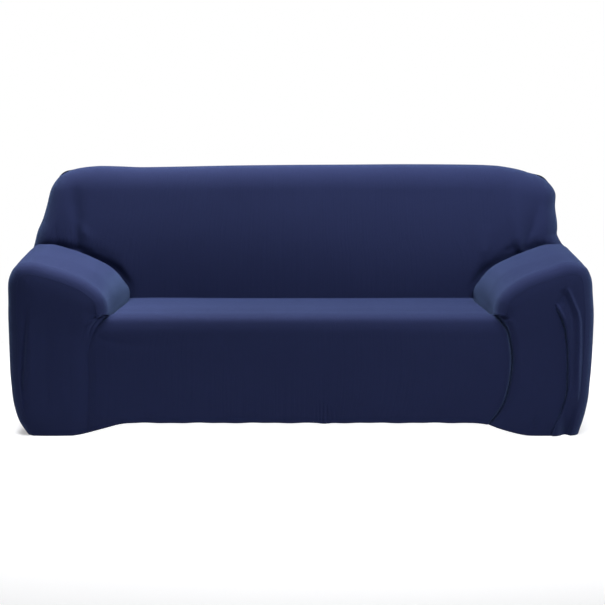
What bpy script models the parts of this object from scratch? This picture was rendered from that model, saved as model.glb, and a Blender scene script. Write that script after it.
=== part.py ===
"""Fitted slipcover for a three-seat sofa, in navy stretch knit, hollow as it stands on its sofa.

Seven panels, sewn edge to edge: the inside and outside of the back, the seat with its apron, and
for each arm a cover and a front.  Every panel is an open grid, carried onto its place by a function
and given its thickness by Solidify.  Metres, +Z up, the front towards -Y, the floor at z = 0.
Depths are counted backwards from the arm fronts, and sides are -1 for left and +1 for right.
"""

import math
from bisect import bisect_right
from collections import namedtuple

import bmesh
import bpy
from mathutils import Vector, noise

FRONT_Y = -0.431
REAR_DEPTH = 0.880
CLOTH = 0.002
SEAM_GAP = 0.0004
BENT_GAP = 0.0012
BUTT_GAP = 0.0012
HEM_LIFT = 0.0008
SIDES = {"left": -1, "right": 1}

KNIT_COLOUR = (0.012, 0.016, 0.046, 1.0)
KNIT_ROUGHNESS = 0.88

# The back is a rounded box: its face leans, and its outline swells and droops.
BACK_HALF_WIDTH = 1.0
BACK_TOP = 0.909
BACK_ROUND = 0.066
FACE_FOOT_DEPTH = 0.560
FACE_FOOT_HEIGHT = 0.410
FACE_LEAN = 0.22
REAR_SEAM_DEPTH = 0.820
REAR_SEAM_EDGE = 0.006
REAR_ROUND = REAR_DEPTH - REAR_SEAM_DEPTH - REAR_SEAM_EDGE
ROUND_SHARE = 0.62
WEB_HIGH = 0.596
WEB_LOW = 0.580
DROOP_START = 0.61
BACK_CROWN = 0.012
FOOT_MARGIN = 0.055
FOOT_AHEAD = 0.040
FOLD_TURN = 0.5

# The outline of the cover seen from behind, from the floor up.
OutlineRow = namedtuple("OutlineRow", "height left right")
OUTLINE = (
    OutlineRow(0.000, 0.995, 0.995),
    OutlineRow(0.050, 1.014, 1.014),
    OutlineRow(0.100, 1.023, 1.023),
    OutlineRow(0.190, 1.034, 1.034),
    OutlineRow(0.340, 1.043, 1.043),
    OutlineRow(0.460, 1.046, 1.046),
    OutlineRow(WEB_LOW, 1.040, 1.040),
    OutlineRow(WEB_HIGH, 1.030, 1.030),
    OutlineRow(0.660, 1.016, 1.001),
    OutlineRow(0.710, 1.000, 0.994),
    OutlineRow(0.780, 0.980, 0.984),
    OutlineRow(0.830, 0.963, 0.974),
    OutlineRow(BACK_TOP, 0.941, 0.951),
)

# How far the top of the back droops towards each end.
DroopRow = namedtuple("DroopRow", "reach left right")
DROOP = (
    DroopRow(0.00, 0.000, 0.000),
    DroopRow(0.70, 0.001, 0.000),
    DroopRow(0.82, 0.006, 0.004),
    DroopRow(0.90, 0.012, 0.014),
    DroopRow(0.96, 0.016, 0.028),
    DroopRow(1.00, 0.020, 0.038),
)

# The lower edge of the inside back, just below the arch of each arm.
FootRow = namedtuple("FootRow", "reach height")
BACK_FOOT = (
    FootRow(0.000, 0.375),
    FootRow(0.622, 0.375),
    FootRow(0.640, 0.410),
    FootRow(0.665, 0.460),
    FootRow(0.710, 0.510),
    FootRow(0.770, 0.542),
    FootRow(0.850, 0.576),
    FootRow(0.934, WEB_HIGH),
)

# Section of an arm cover from its outer hem over the crown to its tuck: at the front, and where
# its straight runs would reach the rear seam.  Steps are the cells between a row and the last.
ArmRow = namedtuple("ArmRow", "name steps front_x front_z rear_x rear_z")
ARM_SECTION = (
    ArmRow("hem", 0, 0.967, 0.000, 0.995, 0.000),
    ArmRow("flare", 1, 0.996, 0.050, 1.014, 0.050),
    ArmRow("low", 1, 1.010, 0.100, 1.023, 0.100),
    ArmRow("skirt", 2, 1.020, 0.190, 1.034, 0.190),
    ArmRow("side", 3, 1.027, 0.340, 1.043, 0.340),
    ArmRow("bulge", 2, 1.029, 0.460, 1.046, 0.460),
    ArmRow("shoulder", 2, 1.019, 0.566, 1.040, WEB_LOW),
    ArmRow("edge", 1, 1.007, 0.590, 1.0355, 0.5968),
    ArmRow("round", 2, 0.988, 0.607, 1.0137, 0.6137),
    ArmRow("crown", 2, 0.948, 0.614, 0.957, 0.625),
    ArmRow("slope_high", 3, 0.878, 0.597, 0.863, 0.6015),
    ArmRow("slope_middle", 3, 0.802, 0.571, 0.788, 0.569),
    ArmRow("slope_low", 3, 0.738, 0.536, 0.709, 0.527),
    ArmRow("roll", 2, 0.692, 0.490, 0.666, 0.480),
    ArmRow("inner", 3, 0.679, 0.437, 0.648, 0.445),
    ArmRow("flap", 2, 0.679, 0.391, 0.648, 0.397),
)
ARM_SIDE_ROWS = 6
ARM_OUTER_CORNER = 8
ARM_INNER_CORNER = 13
ARM_INNER_ROW = 14
ARM_FRONT_ROUND = 0.028
ARM_ROUND_STEPS = 3
ARM_LONG_STEPS = 10
ARM_CORNER_DEPTH = 0.048
ARM_FIRST_DEPTH = 0.078
ARM_SEAM_TURN = math.radians(75.0)
ARM_NEAR_LINE = 0.05
ARM_LEVEL_HEIGHT = 0.150
FLAP_LEAST = 0.06

# Run of the seat and apron from the rear tuck to the hem.  Bend is how far its sides turn down
# into the crevice beside each arm: 1 is fully down, 0 is flat.
SeatRow = namedtuple("SeatRow", "name steps depth height left right bend")
SEAT_RUN = (
    SeatRow("tuck", 0, 0.5480, 0.375, 0.6540, 0.6540, 0.0),
    SeatRow("crevice", 1, 0.5535, 0.400, 0.6540, 0.6540, 0.0),
    SeatRow("rear", 1, 0.5350, 0.4145, 0.6550, 0.6550, 0.2),
    SeatRow("deep", 2, 0.4900, 0.4180, 0.6569, 0.6569, 1.0),
    SeatRow("middle", 3, 0.3000, 0.4240, 0.6644, 0.6644, 1.0),
    SeatRow("fore", 3, 0.1000, 0.4300, 0.6722, 0.6722, 1.0),
    SeatRow("lip", 1, 0.0450, 0.4295, 0.6743, 0.6743, 0.1),
    SeatRow("brow", 1, 0.0190, 0.4200, 0.6980, 0.6980, 0.0),
    SeatRow("face", 1, 0.0100, 0.3980, 0.7215, 0.7205, 0.0),
    SeatRow("apron", 2, 0.0090, 0.3400, 0.7420, 0.7340, 0.0),
    SeatRow("waist", 3, 0.0110, 0.2050, 0.7480, 0.7370, 0.0),
    SeatRow("low", 2, 0.0130, 0.1230, 0.7530, 0.7120, 0.0),
    SeatRow("hem", 2, 0.0140, 0.0470, 0.7580, 0.6630, 0.0),
)
SEAT_LIP_ROW = 6
SEAT_APRON_ROW = 9
SEAT_MIDDLE_STEPS = 18
SEAT_ROUND_STEPS = 3
SEAT_SIDE_ROUND = 0.022
SEAT_FLAP = 0.016
SEAT_FLAP_TURN = 1.3
SEAT_EDGE_CALM = 0.12

# The middle of the front hem hangs above the floor, and drops to it under the arms.
HEM_RISE = 0.048
HEM_RISE_ENDS = 0.600
HEM_FLOOR_STARTS = 0.815

# Columns of the inside back between its rounds, closer where it creases beside the arms.
SpanRow = namedtuple("SpanRow", "start end steps")
BACK_SPANS = (
    SpanRow(-0.934, -0.700, 8),
    SpanRow(-0.700, 0.700, 14),
    SpanRow(0.700, 0.934, 8),
)
BACK_FACE_ROWS = 11
BACK_ROUND_STEPS = 4
BACK_STRAIGHT_STEPS = 2
REAR_COLUMNS = 10
REAR_ROWS = 6
REAR_ROUND_STEPS = 3
REAR_SEAM_TURN = 1.25
REAR_EDGE_CALM = 0.15

# Soft folds, from one end to the other in x and z; a ridge is positive, a trough negative.
Fold = namedtuple("Fold", "name x0 z0 x1 z1 width height")
BACK_FOLDS = (
    Fold("left valley", -0.870, 0.810, -0.864, 0.622, 0.026, -0.010),
    Fold("left bulge", -0.808, 0.650, -0.828, 0.710, 0.034, 0.006),
    Fold("right ridge", 0.832, 0.660, 0.852, 0.860, 0.020, 0.008),
    Fold("right dimple", 0.786, 0.622, 0.820, 0.615, 0.024, -0.008),
    Fold("right band", 0.876, 0.640, 0.926, 0.790, 0.024, -0.009),
)
LEFT_FRONT_FOLDS = (
    Fold("outer crease", -0.966, 0.390, -0.990, 0.150, 0.014, -0.006),
    Fold("hem dimple", -0.984, 0.124, -0.984, 0.114, 0.018, -0.007),
    Fold("middle fold", -0.894, 0.440, -0.902, 0.083, 0.022, -0.003),
    Fold("inner fold", -0.810, 0.410, -0.818, 0.073, 0.022, -0.003),
    Fold("seam pucker", -0.714, 0.422, -0.754, 0.375, 0.012, -0.005),
)
RIGHT_FRONT_FOLDS = (
    Fold("pleat dimple", 0.916, 0.504, 0.901, 0.462, 0.014, -0.007),
    Fold("outer ridge", 0.956, 0.480, 0.978, 0.165, 0.012, 0.005),
    Fold("hem wrinkle", 0.808, 0.031, 0.834, 0.069, 0.012, -0.004),
)

# The pleat of loose cloth on the right arm front: its folded edge, from the tip to the hem.
PleatRow = namedtuple("PleatRow", "height reach lift")
PLEAT = (
    PleatRow(0.000, 0.889, 0.008),
    PleatRow(0.042, 0.906, 0.008),
    PleatRow(0.127, 0.938, 0.009),
    PleatRow(0.240, 0.945, 0.010),
    PleatRow(0.381, 0.932, 0.010),
    PleatRow(0.420, 0.918, 0.007),
    PleatRow(0.458, 0.898, 0.000),
    PleatRow(0.630, 0.880, 0.000),
)
PLEAT_EDGE = 0.014
PLEAT_FADE = 0.055
ARM_FRONT_BULGE = 0.013
ARM_FRONT_EASE = 0.4
SLACK_SIZE = 0.0035
SLACK_PITCH = 5.0


def blend(start, end, share):
    """Point on the straight way from start to end."""
    return start + (end - start) * share


def ease(share):
    """Smooth step from 0 to 1."""
    share = min(max(share, 0.0), 1.0)
    return share * share * (3.0 - 2.0 * share)


def read_table(rows, key, column, position):
    """Straight reading of one column of a table whose key column rises."""
    keys = [getattr(row, key) for row in rows]
    values = [getattr(row, column) for row in rows]
    if position <= keys[0]:
        return values[0]
    if position >= keys[-1]:
        return values[-1]
    place = bisect_right(keys, position) - 1
    share = (position - keys[place]) / (keys[place + 1] - keys[place])
    return blend(values[place], values[place + 1], share)


class Track:
    """Smooth curve through a table's rows, read at a position counted in rows."""

    def __init__(self, rows, columns, across, up):
        self.columns = columns
        self.values = {name: [getattr(row, name) for row in rows] for name in columns}
        places = list(zip(self.values[across], self.values[up]))
        self.lengths = [math.dist(places[i], places[i + 1]) for i in range(len(rows) - 1)]

    def slope(self, values, row):
        """Slope of one column at a row, per metre along the curve."""
        last = len(self.lengths)
        if row == 0:
            return (values[1] - values[0]) / self.lengths[0]
        if row == last:
            return (values[last] - values[last - 1]) / self.lengths[last - 1]
        before = self.lengths[row - 1]
        after = self.lengths[row]
        slope_in = (values[row] - values[row - 1]) / before
        slope_out = (values[row + 1] - values[row]) / after
        return (slope_in * after + slope_out * before) / (before + after)

    def at(self, position):
        """The columns' values at a position counted in rows."""
        row = min(int(position), len(self.lengths) - 1)
        share = position - row
        length = self.lengths[row]
        return {name: self.value(self.values[name], row, share, length) for name in self.columns}

    def value(self, values, row, share, length):
        """Cubic through two rows of a column with their slopes."""
        square = share * share
        cube = square * share
        start = (2.0 * cube - 3.0 * square + 1.0) * values[row]
        end = (3.0 * square - 2.0 * cube) * values[row + 1]
        lead = (cube - 2.0 * square + share) * length * self.slope(values, row)
        trail = (cube - square) * length * self.slope(values, row + 1)
        return start + end + lead + trail


def row_positions(rows):
    """Positions of the grid lines of a table whose rows give their steps."""
    positions = [0.0]
    for index, row in enumerate(rows[1:]):
        positions += [index + (step + 1) / row.steps for step in range(row.steps)]
    return positions


ARM_TRACK = Track(ARM_SECTION, ("front_x", "front_z", "rear_x", "rear_z"), "front_x", "front_z")
SEAT_TRACK = Track(SEAT_RUN, ("depth", "height", "left", "right", "bend"), "depth", "height")
ARM_LINES = row_positions(ARM_SECTION)
SEAT_LINES = row_positions(SEAT_RUN)


def half_width(side, height):
    """Half width of the cover at its rear seam."""
    column = "left" if side < 0 else "right"
    return read_table(OUTLINE, "height", column, height)


def hem_height(x):
    """Height of the front hem above the floor."""
    share = (abs(x) - HEM_RISE_ENDS) / (HEM_FLOOR_STARTS - HEM_RISE_ENDS)
    return HEM_LIFT + HEM_RISE * (1.0 - ease(share))


def fold_lift(folds, x, z):
    """How far a table's folds raise the cloth at a point."""
    lift = 0.0
    for fold in folds:
        start = Vector((fold.x0, fold.z0))
        run = Vector((fold.x1, fold.z1)) - start
        offset = Vector((x, z)) - start
        share = min(max(offset.dot(run) / run.length_squared, 0.0), 1.0)
        gap = (offset - run * share).length
        lift += fold.height * math.exp(-((gap / fold.width) ** 2))
    return lift


def slack(x, z, layer):
    """Gentle unevenness of loose cloth."""
    return SLACK_SIZE * noise.noise(Vector((x * SLACK_PITCH, z * SLACK_PITCH, layer)))


def face_line(height):
    """Depth of the leaning front face of the back."""
    return FACE_FOOT_DEPTH + FACE_LEAN * (height - FACE_FOOT_HEIGHT)


def warp_outline(side, x, z):
    """Carry a point of the plain rounded box onto the swelling and drooping outline."""
    column = "left" if side < 0 else "right"
    droop = read_table(DROOP, "reach", column, abs(x))
    rise = ease((z - DROOP_START) / (BACK_TOP - DROOP_START))
    wide = x * half_width(side, z) / BACK_HALF_WIDTH
    return wide, z - droop * rise


def ring_way(across, up):
    """Unit way out of the back's outline where its end and top rounds meet, sideways and up."""
    turn = max(across, up)
    if turn == 0.0:
        return 0.0, 0.0
    angle = math.pi / 4.0 * min(across, up) / turn
    if up > across:
        return math.sin(angle), math.cos(angle)
    return math.cos(angle), math.sin(angle)


def inside_back_point(side, reach, across, height, up):
    """Point of the inside back; across and up run round its end and its top, 0 to 1."""
    turn = max(across, up)
    arc = min(turn / ROUND_SHARE, 1.0) * math.pi / 2.0
    outward = BACK_ROUND * math.sin(arc)
    side_way, up_way = ring_way(across, up)
    face = face_line(height)
    depth = face + BACK_ROUND * (1.0 - math.cos(arc))
    if turn > ROUND_SHARE:
        share = (turn - ROUND_SHARE) / (1.0 - ROUND_SHARE)
        depth = blend(face + BACK_ROUND, REAR_SEAM_DEPTH - SEAM_GAP / 2.0, share)
    wide, high = warp_outline(side, reach + outward * side_way, height + outward * up_way)
    return Vector((side * wide, FRONT_Y + depth, high))


def outside_back_point(side, reach, across, height, up):
    """Point of the outside back; past 1, its edge runs straight forward to the seam."""
    turn = max(across, up)
    arc = min(turn, 1.0) * math.pi / 2.0
    outward = REAR_ROUND * math.sin(arc)
    side_way, up_way = ring_way(across, up)
    depth = REAR_DEPTH - REAR_ROUND * (1.0 - math.cos(arc))
    if turn > 1.0:
        depth = REAR_SEAM_DEPTH + SEAM_GAP / 2.0
    wide, high = warp_outline(side, reach + outward * side_way, height + outward * up_way)
    middle = ease((limit_of(REAR_ROUND) - reach) / REAR_EDGE_CALM)
    calm = middle * ease((height - REAR_EDGE_CALM) / REAR_EDGE_CALM)
    depth += slack(wide, high, layer=2.0) * calm * (1.0 - min(turn, 1.0))
    return Vector((side * wide, FRONT_Y + depth, max(high, HEM_LIFT)))


def limit_of(radius):
    """Half width of the flat middle of the back inside a round of its edge."""
    return BACK_HALF_WIDTH - radius


def round_shares():
    """Grid lines round an edge of the back: its round, then its straight run."""
    arcs = [ROUND_SHARE * (i + 1) / BACK_ROUND_STEPS for i in range(BACK_ROUND_STEPS)]
    straight = (1.0 - ROUND_SHARE) / BACK_STRAIGHT_STEPS
    return arcs + [ROUND_SHARE + straight * (i + 1) for i in range(BACK_STRAIGHT_STEPS)]


def inside_back_columns():
    """Columns of the inside back from end to end: side, reach and how far round the end."""
    limit = limit_of(BACK_ROUND)
    rounds = round_shares()
    columns = [(-1, limit, share) for share in reversed(rounds)]
    for index, span in enumerate(BACK_SPANS):
        for step in range(0 if index == 0 else 1, span.steps + 1):
            x = blend(span.start, span.end, step / span.steps)
            columns.append((-1 if x < 0.0 else 1, abs(x), 0.0))
    return columns + [(1, limit, share) for share in rounds]


def foot_height(reach, across):
    """Lower edge of the inside back, dropping to the web round each end."""
    if across > ROUND_SHARE:
        share = (across - ROUND_SHARE) / (1.0 - ROUND_SHARE)
        return blend(WEB_HIGH, WEB_LOW, share) + BENT_GAP
    if across > 0.0:
        return WEB_HIGH + BENT_GAP
    return read_table(BACK_FOOT, "reach", "height", reach)


def make_inside_back():
    """Front of the back, over its top and round both ends to the rear seam."""
    columns = inside_back_columns()
    ups = [0.0] * (BACK_FACE_ROWS + 1) + round_shares()
    brow = BACK_TOP - BACK_ROUND

    def place(i, j):
        side, reach, across = columns[i]
        share = min(j / BACK_FACE_ROWS, 1.0)
        height = blend(foot_height(reach, across), brow, share)
        point = inside_back_point(side, reach, across, height, ups[j])
        facing = (1.0 - ease(across / FOLD_TURN)) * (1.0 - ease(ups[j] / FOLD_TURN))
        arch = foot_height(min(reach + FOOT_AHEAD, BACK_HALF_WIDTH), across)
        above = ease((point.z - arch - FOOT_MARGIN / 2.0) / FOOT_MARGIN)
        lift = BACK_CROWN * math.sin(math.pi * share) + slack(point.x, point.z, layer=1.0)
        lift += fold_lift(BACK_FOLDS, point.x, point.z)
        point.y -= lift * facing * above
        return point

    return make_sheet("inside_back", len(columns) - 1, len(ups) - 1, place)


def make_outside_back():
    """Plain rear panel, rounded forward to the seams and open at the floor."""
    limit = limit_of(REAR_ROUND)
    brow = BACK_TOP - REAR_ROUND
    half = REAR_COLUMNS // 2
    rounds = [(i + 1) / REAR_ROUND_STEPS for i in range(REAR_ROUND_STEPS)] + [REAR_SEAM_TURN]
    columns = [(-1, limit, share) for share in reversed(rounds)]
    columns += [(-1, limit * i / half, 0.0) for i in range(half, 0, -1)]
    columns += [(1, limit * i / half, 0.0) for i in range(half + 1)]
    columns += [(1, limit, share) for share in rounds]
    lows = [ARM_TRACK.at(line)["rear_z"] for line in ARM_LINES if line <= ARM_SIDE_ROWS]
    highs = [blend(WEB_LOW, brow, (i + 1) / REAR_ROWS) for i in range(REAR_ROWS)]
    levels = [(height, 0.0) for height in lows + highs] + [(brow, share) for share in rounds]

    def place(i, j):
        side, reach, across = columns[i]
        height, up = levels[j]
        return outside_back_point(side, reach, across, height, up)

    return make_sheet("outside_back", len(columns) - 1, len(levels) - 1, place)


def arm_outline(line, run):
    """Section point of an arm at a grid line; run is 0 at the front and 1 at the rear seam."""
    row = ARM_TRACK.at(line)
    return blend(row["front_x"], row["rear_x"], run), blend(row["front_z"], row["rear_z"], run)


def arm_inward(line):
    """Unit way into the arm from its front section, level where it nears the floor."""
    x0, z0 = arm_outline(max(line - ARM_NEAR_LINE, 0.0), 0.0)
    x1, z1 = arm_outline(min(line + ARM_NEAR_LINE, len(ARM_SECTION) - 1.0), 0.0)
    way = Vector((z0 - z1, x1 - x0)).normalized()
    height = arm_outline(line, 0.0)[1]
    return Vector((way.x, way.y * ease(height / ARM_LEVEL_HEIGHT)))


def arm_run(depth):
    """Share of the way from the front round to the rear seam."""
    return (depth - ARM_FRONT_ROUND) / (REAR_SEAM_DEPTH - ARM_FRONT_ROUND)


def arm_end_depth(side, line):
    """Depth where a grid line of an arm ends: the rear seam, or the face of the back."""
    if line <= ARM_SIDE_ROWS:
        return REAR_SEAM_DEPTH - SEAM_GAP / 2.0
    x, z = arm_outline(line, arm_run(face_line(WEB_HIGH)))
    over = x * BACK_HALF_WIDTH / half_width(side, z) - limit_of(BACK_ROUND)
    over = min(max(over, 0.0), BACK_ROUND)
    reach = BACK_ROUND + CLOTH / 2.0 + BUTT_GAP
    return face_line(z) + BACK_ROUND - math.sqrt(reach**2 - over**2)


def arm_front_point(side, line, turn):
    """Point on the round of an arm's front edge; turn is 0 on the arm, 90 degrees on its face."""
    x, z = arm_outline(line, 0.0)
    inward = arm_inward(line)
    inset = ARM_FRONT_ROUND * (1.0 - math.cos(turn))
    depth = ARM_FRONT_ROUND * (1.0 - math.sin(turn))
    high = max(z + inward.y * inset, HEM_LIFT)
    return Vector((side * (x + inward.x * inset), FRONT_Y + depth, high))


def flap_raised(point, brim, line):
    """Lift an arm's tuck flap clear of the seat's front edge, towards its brim above."""
    if line > ARM_INNER_ROW:
        depth = point.y - FRONT_Y
        share = (depth - ARM_CORNER_DEPTH) / (ARM_FIRST_DEPTH - ARM_CORNER_DEPTH)
        point.z = blend(brim, point.z, max(ease(share), FLAP_LEAST))
    return point


def make_arm_cover(name, side):
    """Outer side, crown, slope and inner side of one arm."""
    turn_end = ARM_SEAM_TURN - SEAM_GAP / ARM_FRONT_ROUND

    def place(i, j):
        line = ARM_LINES[i]
        if j <= ARM_ROUND_STEPS:
            turn = turn_end * (1.0 - j / ARM_ROUND_STEPS)
            brim = arm_front_point(side, ARM_INNER_ROW, turn).z
            return flap_raised(arm_front_point(side, line, turn), brim, line)
        share = max(j - ARM_ROUND_STEPS - 2, 0) / (ARM_LONG_STEPS - 2)
        depth = blend(ARM_FIRST_DEPTH, arm_end_depth(side, line), share)
        if j == ARM_ROUND_STEPS + 1:
            depth = ARM_CORNER_DEPTH
        x, z = arm_outline(line, arm_run(depth))
        calm = math.sin(math.pi * share) * ease(line) * ease(ARM_INNER_ROW - line)
        lift = slack(depth, z - x, layer=3.0 + side) * calm
        inward = arm_inward(line)
        high = max(z - inward.y * lift, HEM_LIFT)
        point = Vector((side * (x - inward.x * lift), FRONT_Y + depth, high))
        return flap_raised(point, arm_outline(ARM_INNER_ROW, arm_run(depth))[1], line)

    return make_sheet(name, len(ARM_LINES) - 1, ARM_ROUND_STEPS + ARM_LONG_STEPS, place)


def seat_edge(side, row):
    """Half width of the seat and apron at a row of their run."""
    return row["left"] if side < 0 else row["right"]


def apron_height(x, line, row):
    """Height of the apron, whose last rows follow the rising hem."""
    hang = ease((line - SEAT_APRON_ROW) / (len(SEAT_RUN) - 1 - SEAT_APRON_ROW))
    return row["height"] + (hem_height(x) - SEAT_RUN[-1].height) * hang


def make_seat_and_apron():
    """Seat from its rear tuck over the front edge, and the apron down to the hem."""
    rounds = [(i + 1) / SEAT_ROUND_STEPS for i in range(SEAT_ROUND_STEPS)] + [SEAT_FLAP_TURN]
    half = SEAT_MIDDLE_STEPS // 2
    columns = [(-1, 1.0, turn) for turn in reversed(rounds)]
    columns += [(-1, i / half, 0.0) for i in range(half, 0, -1)]
    columns += [(1, i / half, 0.0) for i in range(half + 1)]
    columns += [(1, 1.0, turn) for turn in rounds]

    def place(i, j):
        side, share, turn = columns[i]
        line = SEAT_LINES[j]
        row = SEAT_TRACK.at(line)
        bend = min(max(row["bend"], 0.0), 1.0)
        flat = (seat_edge(side, row) - SEAT_SIDE_ROUND) * share
        arc = min(turn, 1.0) * math.pi / 2.0
        drop = SEAT_SIDE_ROUND * (1.0 - math.cos(arc))
        if turn > 1.0:
            drop += SEAT_FLAP
        level = SEAT_SIDE_ROUND * turn / SEAT_FLAP_TURN
        x = side * (flat + blend(level, SEAT_SIDE_ROUND * math.sin(arc), bend))
        depth = row["depth"]
        height = apron_height(x, line, row) - drop * bend
        calm = ease((1.0 - share) / SEAT_EDGE_CALM)
        if line > SEAT_LIP_ROW:
            depth -= slack(x, height, layer=6.0) * calm * ease(line - SEAT_LIP_ROW)
        else:
            height += slack(x, depth, layer=7.0) * calm * math.sin(math.pi * line / SEAT_LIP_ROW)
        return Vector((x, FRONT_Y + depth, height))

    return make_sheet("seat_and_apron", len(columns) - 1, len(SEAT_LINES) - 1, place)


def pleat_lift(x, z):
    """How far the loose pleat of the right arm front stands over the cloth beside it."""
    over = x - read_table(PLEAT, "height", "reach", z)
    lift = read_table(PLEAT, "height", "lift", z)
    return lift * ease(over / PLEAT_EDGE) * (1.0 - ease((over - PLEAT_EDGE) / PLEAT_FADE))


def apron_seam(side, line):
    """Point of an arm front where it meets the apron."""
    row = SEAT_TRACK.at(line)
    x = seat_edge(side, row) + BENT_GAP
    return Vector((side * x, FRONT_Y + row["depth"], apron_height(x, line, row)))


def edge_fade(share):
    """Steep fall to nothing as a share of a panel runs from its middle to 1."""
    return 1.0 - max(share * 2.0 - 1.0, 0.0) ** 4


def make_arm_front(name, side, folds):
    """Front of one arm, stretched between the arch, the apron's seam and the hem."""
    outer_lines = [line for line in ARM_LINES if line <= ARM_OUTER_CORNER]
    top_lines = [line for line in ARM_LINES if ARM_OUTER_CORNER <= line <= ARM_INNER_CORNER]
    inner_lines = [line for line in ARM_LINES if ARM_INNER_CORNER <= line <= ARM_INNER_ROW]
    seam_lines = [line for line in SEAT_LINES if line > SEAT_LIP_ROW]
    rows = len(outer_lines) - 1
    columns = len(top_lines) - 1
    turn = ARM_SEAM_TURN + SEAM_GAP / ARM_FRONT_ROUND
    outer = [arm_front_point(side, line, turn) for line in outer_lines]
    top = [arm_front_point(side, line, turn) for line in reversed(top_lines)]
    inner = [apron_seam(side, line) for line in reversed(seam_lines)]
    spare = BENT_GAP / ARM_FRONT_ROUND
    for line in reversed(inner_lines):
        inner.append(arm_front_point(side, line, turn + spare * (line - ARM_INNER_CORNER)))

    def hem_point(share):
        point = inner[0].lerp(outer[0], share)
        point.z = blend(hem_height(point.x), outer[0].z, ease(share * 2.0 - 1.0))
        return point

    def place(i, j):
        u, v = i / columns, j / rows
        ruled = inner[j].lerp(outer[j], u) + hem_point(u).lerp(top[i], v)
        corners = inner[0].lerp(outer[0], u).lerp(inner[-1].lerp(outer[-1], u), v)
        point = ruled - corners
        calm = ease(u / ARM_FRONT_EASE) * edge_fade(u) * edge_fade(v)
        lift = ARM_FRONT_BULGE + slack(point.x, point.z, layer=9.0)
        lift += fold_lift(folds, point.x, point.z)
        if side > 0:
            lift += pleat_lift(point.x, point.z)
        point.y -= lift * calm
        return point

    return make_sheet(name, columns, rows, place)


def knit_material(name):
    """Plain finish of one panel."""
    material = bpy.data.materials.new(name)
    material.use_nodes = True
    shader = material.node_tree.nodes["Principled BSDF"]
    shader.inputs["Base Color"].default_value = KNIT_COLOUR
    shader.inputs["Roughness"].default_value = KNIT_ROUGHNESS
    shader.inputs["Metallic"].default_value = 0.0
    return material


def make_sheet(name, columns, rows, place):
    """Grid of cells whose corners are put in place, with the cloth's thickness round it."""
    builder = bmesh.new()
    bmesh.ops.create_grid(builder, x_segments=columns, y_segments=rows, size=0.5)
    for vertex in builder.verts:
        i = round((vertex.co.x + 0.5) * columns)
        j = round((vertex.co.y + 0.5) * rows)
        vertex.co = place(i, j)
    mesh = bpy.data.meshes.new(name)
    builder.to_mesh(mesh)
    builder.free()
    mesh.shade_smooth()
    mesh.materials.append(knit_material(name + "_knit"))
    sheet = bpy.data.objects.new(name, mesh)
    solid = sheet.modifiers.new("cloth", "SOLIDIFY")
    solid.thickness = CLOTH
    solid.offset = 0.0
    solid.use_even_offset = True
    return sheet


def make_slipcover():
    """All panels of the cover, in one collection."""
    for leftover in list(bpy.data.objects):
        bpy.data.objects.remove(leftover)
    cover = bpy.data.collections.new("sofa_slipcover")
    bpy.context.scene.collection.children.link(cover)
    panels = [make_inside_back(), make_outside_back(), make_seat_and_apron()]
    for hand, side in SIDES.items():
        folds = LEFT_FRONT_FOLDS if side < 0 else RIGHT_FRONT_FOLDS
        panels.append(make_arm_cover("arm_cover_" + hand, side))
        panels.append(make_arm_front("arm_front_" + hand, side, folds))
    for panel in panels:
        cover.objects.link(panel)


make_slipcover()
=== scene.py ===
"""Dressed model of a fitted slipcover for a three-seat sofa, in navy stretch knit.

The cover stands as it does when it is pulled over its sofa, and is hollow.  Seven panels of cloth
make it: the inside and the outside of the back, the seat with its apron, and a cover and a front
for each arm.  Each panel is a fine grid that its class carries onto its place, with the cloth's
thickness put round it.  Metres, +Z up, the front towards -Y and the floor at z = 0.  Depths are
counted backwards from the arm fronts.
"""

import logging
import math
from bisect import bisect_right
from dataclasses import dataclass, field
from enum import Enum
from typing import Sequence

import bmesh
import bpy
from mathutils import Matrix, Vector, noise
from mathutils.kdtree import KDTree


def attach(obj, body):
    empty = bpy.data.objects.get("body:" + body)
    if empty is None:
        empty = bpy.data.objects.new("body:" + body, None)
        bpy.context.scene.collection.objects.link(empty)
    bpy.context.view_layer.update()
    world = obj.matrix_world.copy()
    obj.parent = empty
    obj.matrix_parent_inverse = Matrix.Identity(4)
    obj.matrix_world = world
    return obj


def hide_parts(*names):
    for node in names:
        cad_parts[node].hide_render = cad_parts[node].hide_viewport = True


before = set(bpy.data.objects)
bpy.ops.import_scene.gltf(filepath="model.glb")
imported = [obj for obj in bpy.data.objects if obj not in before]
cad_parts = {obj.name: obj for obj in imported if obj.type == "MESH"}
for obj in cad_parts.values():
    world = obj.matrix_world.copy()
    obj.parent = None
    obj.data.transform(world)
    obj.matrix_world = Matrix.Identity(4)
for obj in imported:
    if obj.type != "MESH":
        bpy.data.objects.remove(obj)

LOG = logging.getLogger("slipcover")
BODY = "root"
WEAVE_MAP = "weave"
FOLD_REACH = 3.0
PINCH_ROUND = 0.3

Colour = tuple[float, float, float, float]
Place = tuple[float, float, float]
WHITE: Colour = (1.0, 1.0, 1.0, 1.0)


class Side(Enum):
    """The two ends of the sofa, as seen from the front."""

    LEFT = -1
    RIGHT = 1


class FoldShape(Enum):
    """How a fold's section looks across its line."""

    SOFT = "a rounded ridge or trough"
    PINCHED = "a narrow crease with a sharp bottom or top"
    LAPPED = "cloth that stands proud on the left of the line and sinks back further off"


class Grain(Enum):
    """Which way a panel's knit runs."""

    UPRIGHT = 0.0
    ACROSS = math.pi / 2.0


def blend(start: float, end: float, share: float) -> float:
    """Return the value at a share of the straight way from start to end."""
    return start + (end - start) * share


def ease(share: float) -> float:
    """Return the smooth step from 0 to 1 at a share."""
    share = min(max(share, 0.0), 1.0)
    return share * share * (3.0 - 2.0 * share)


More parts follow.
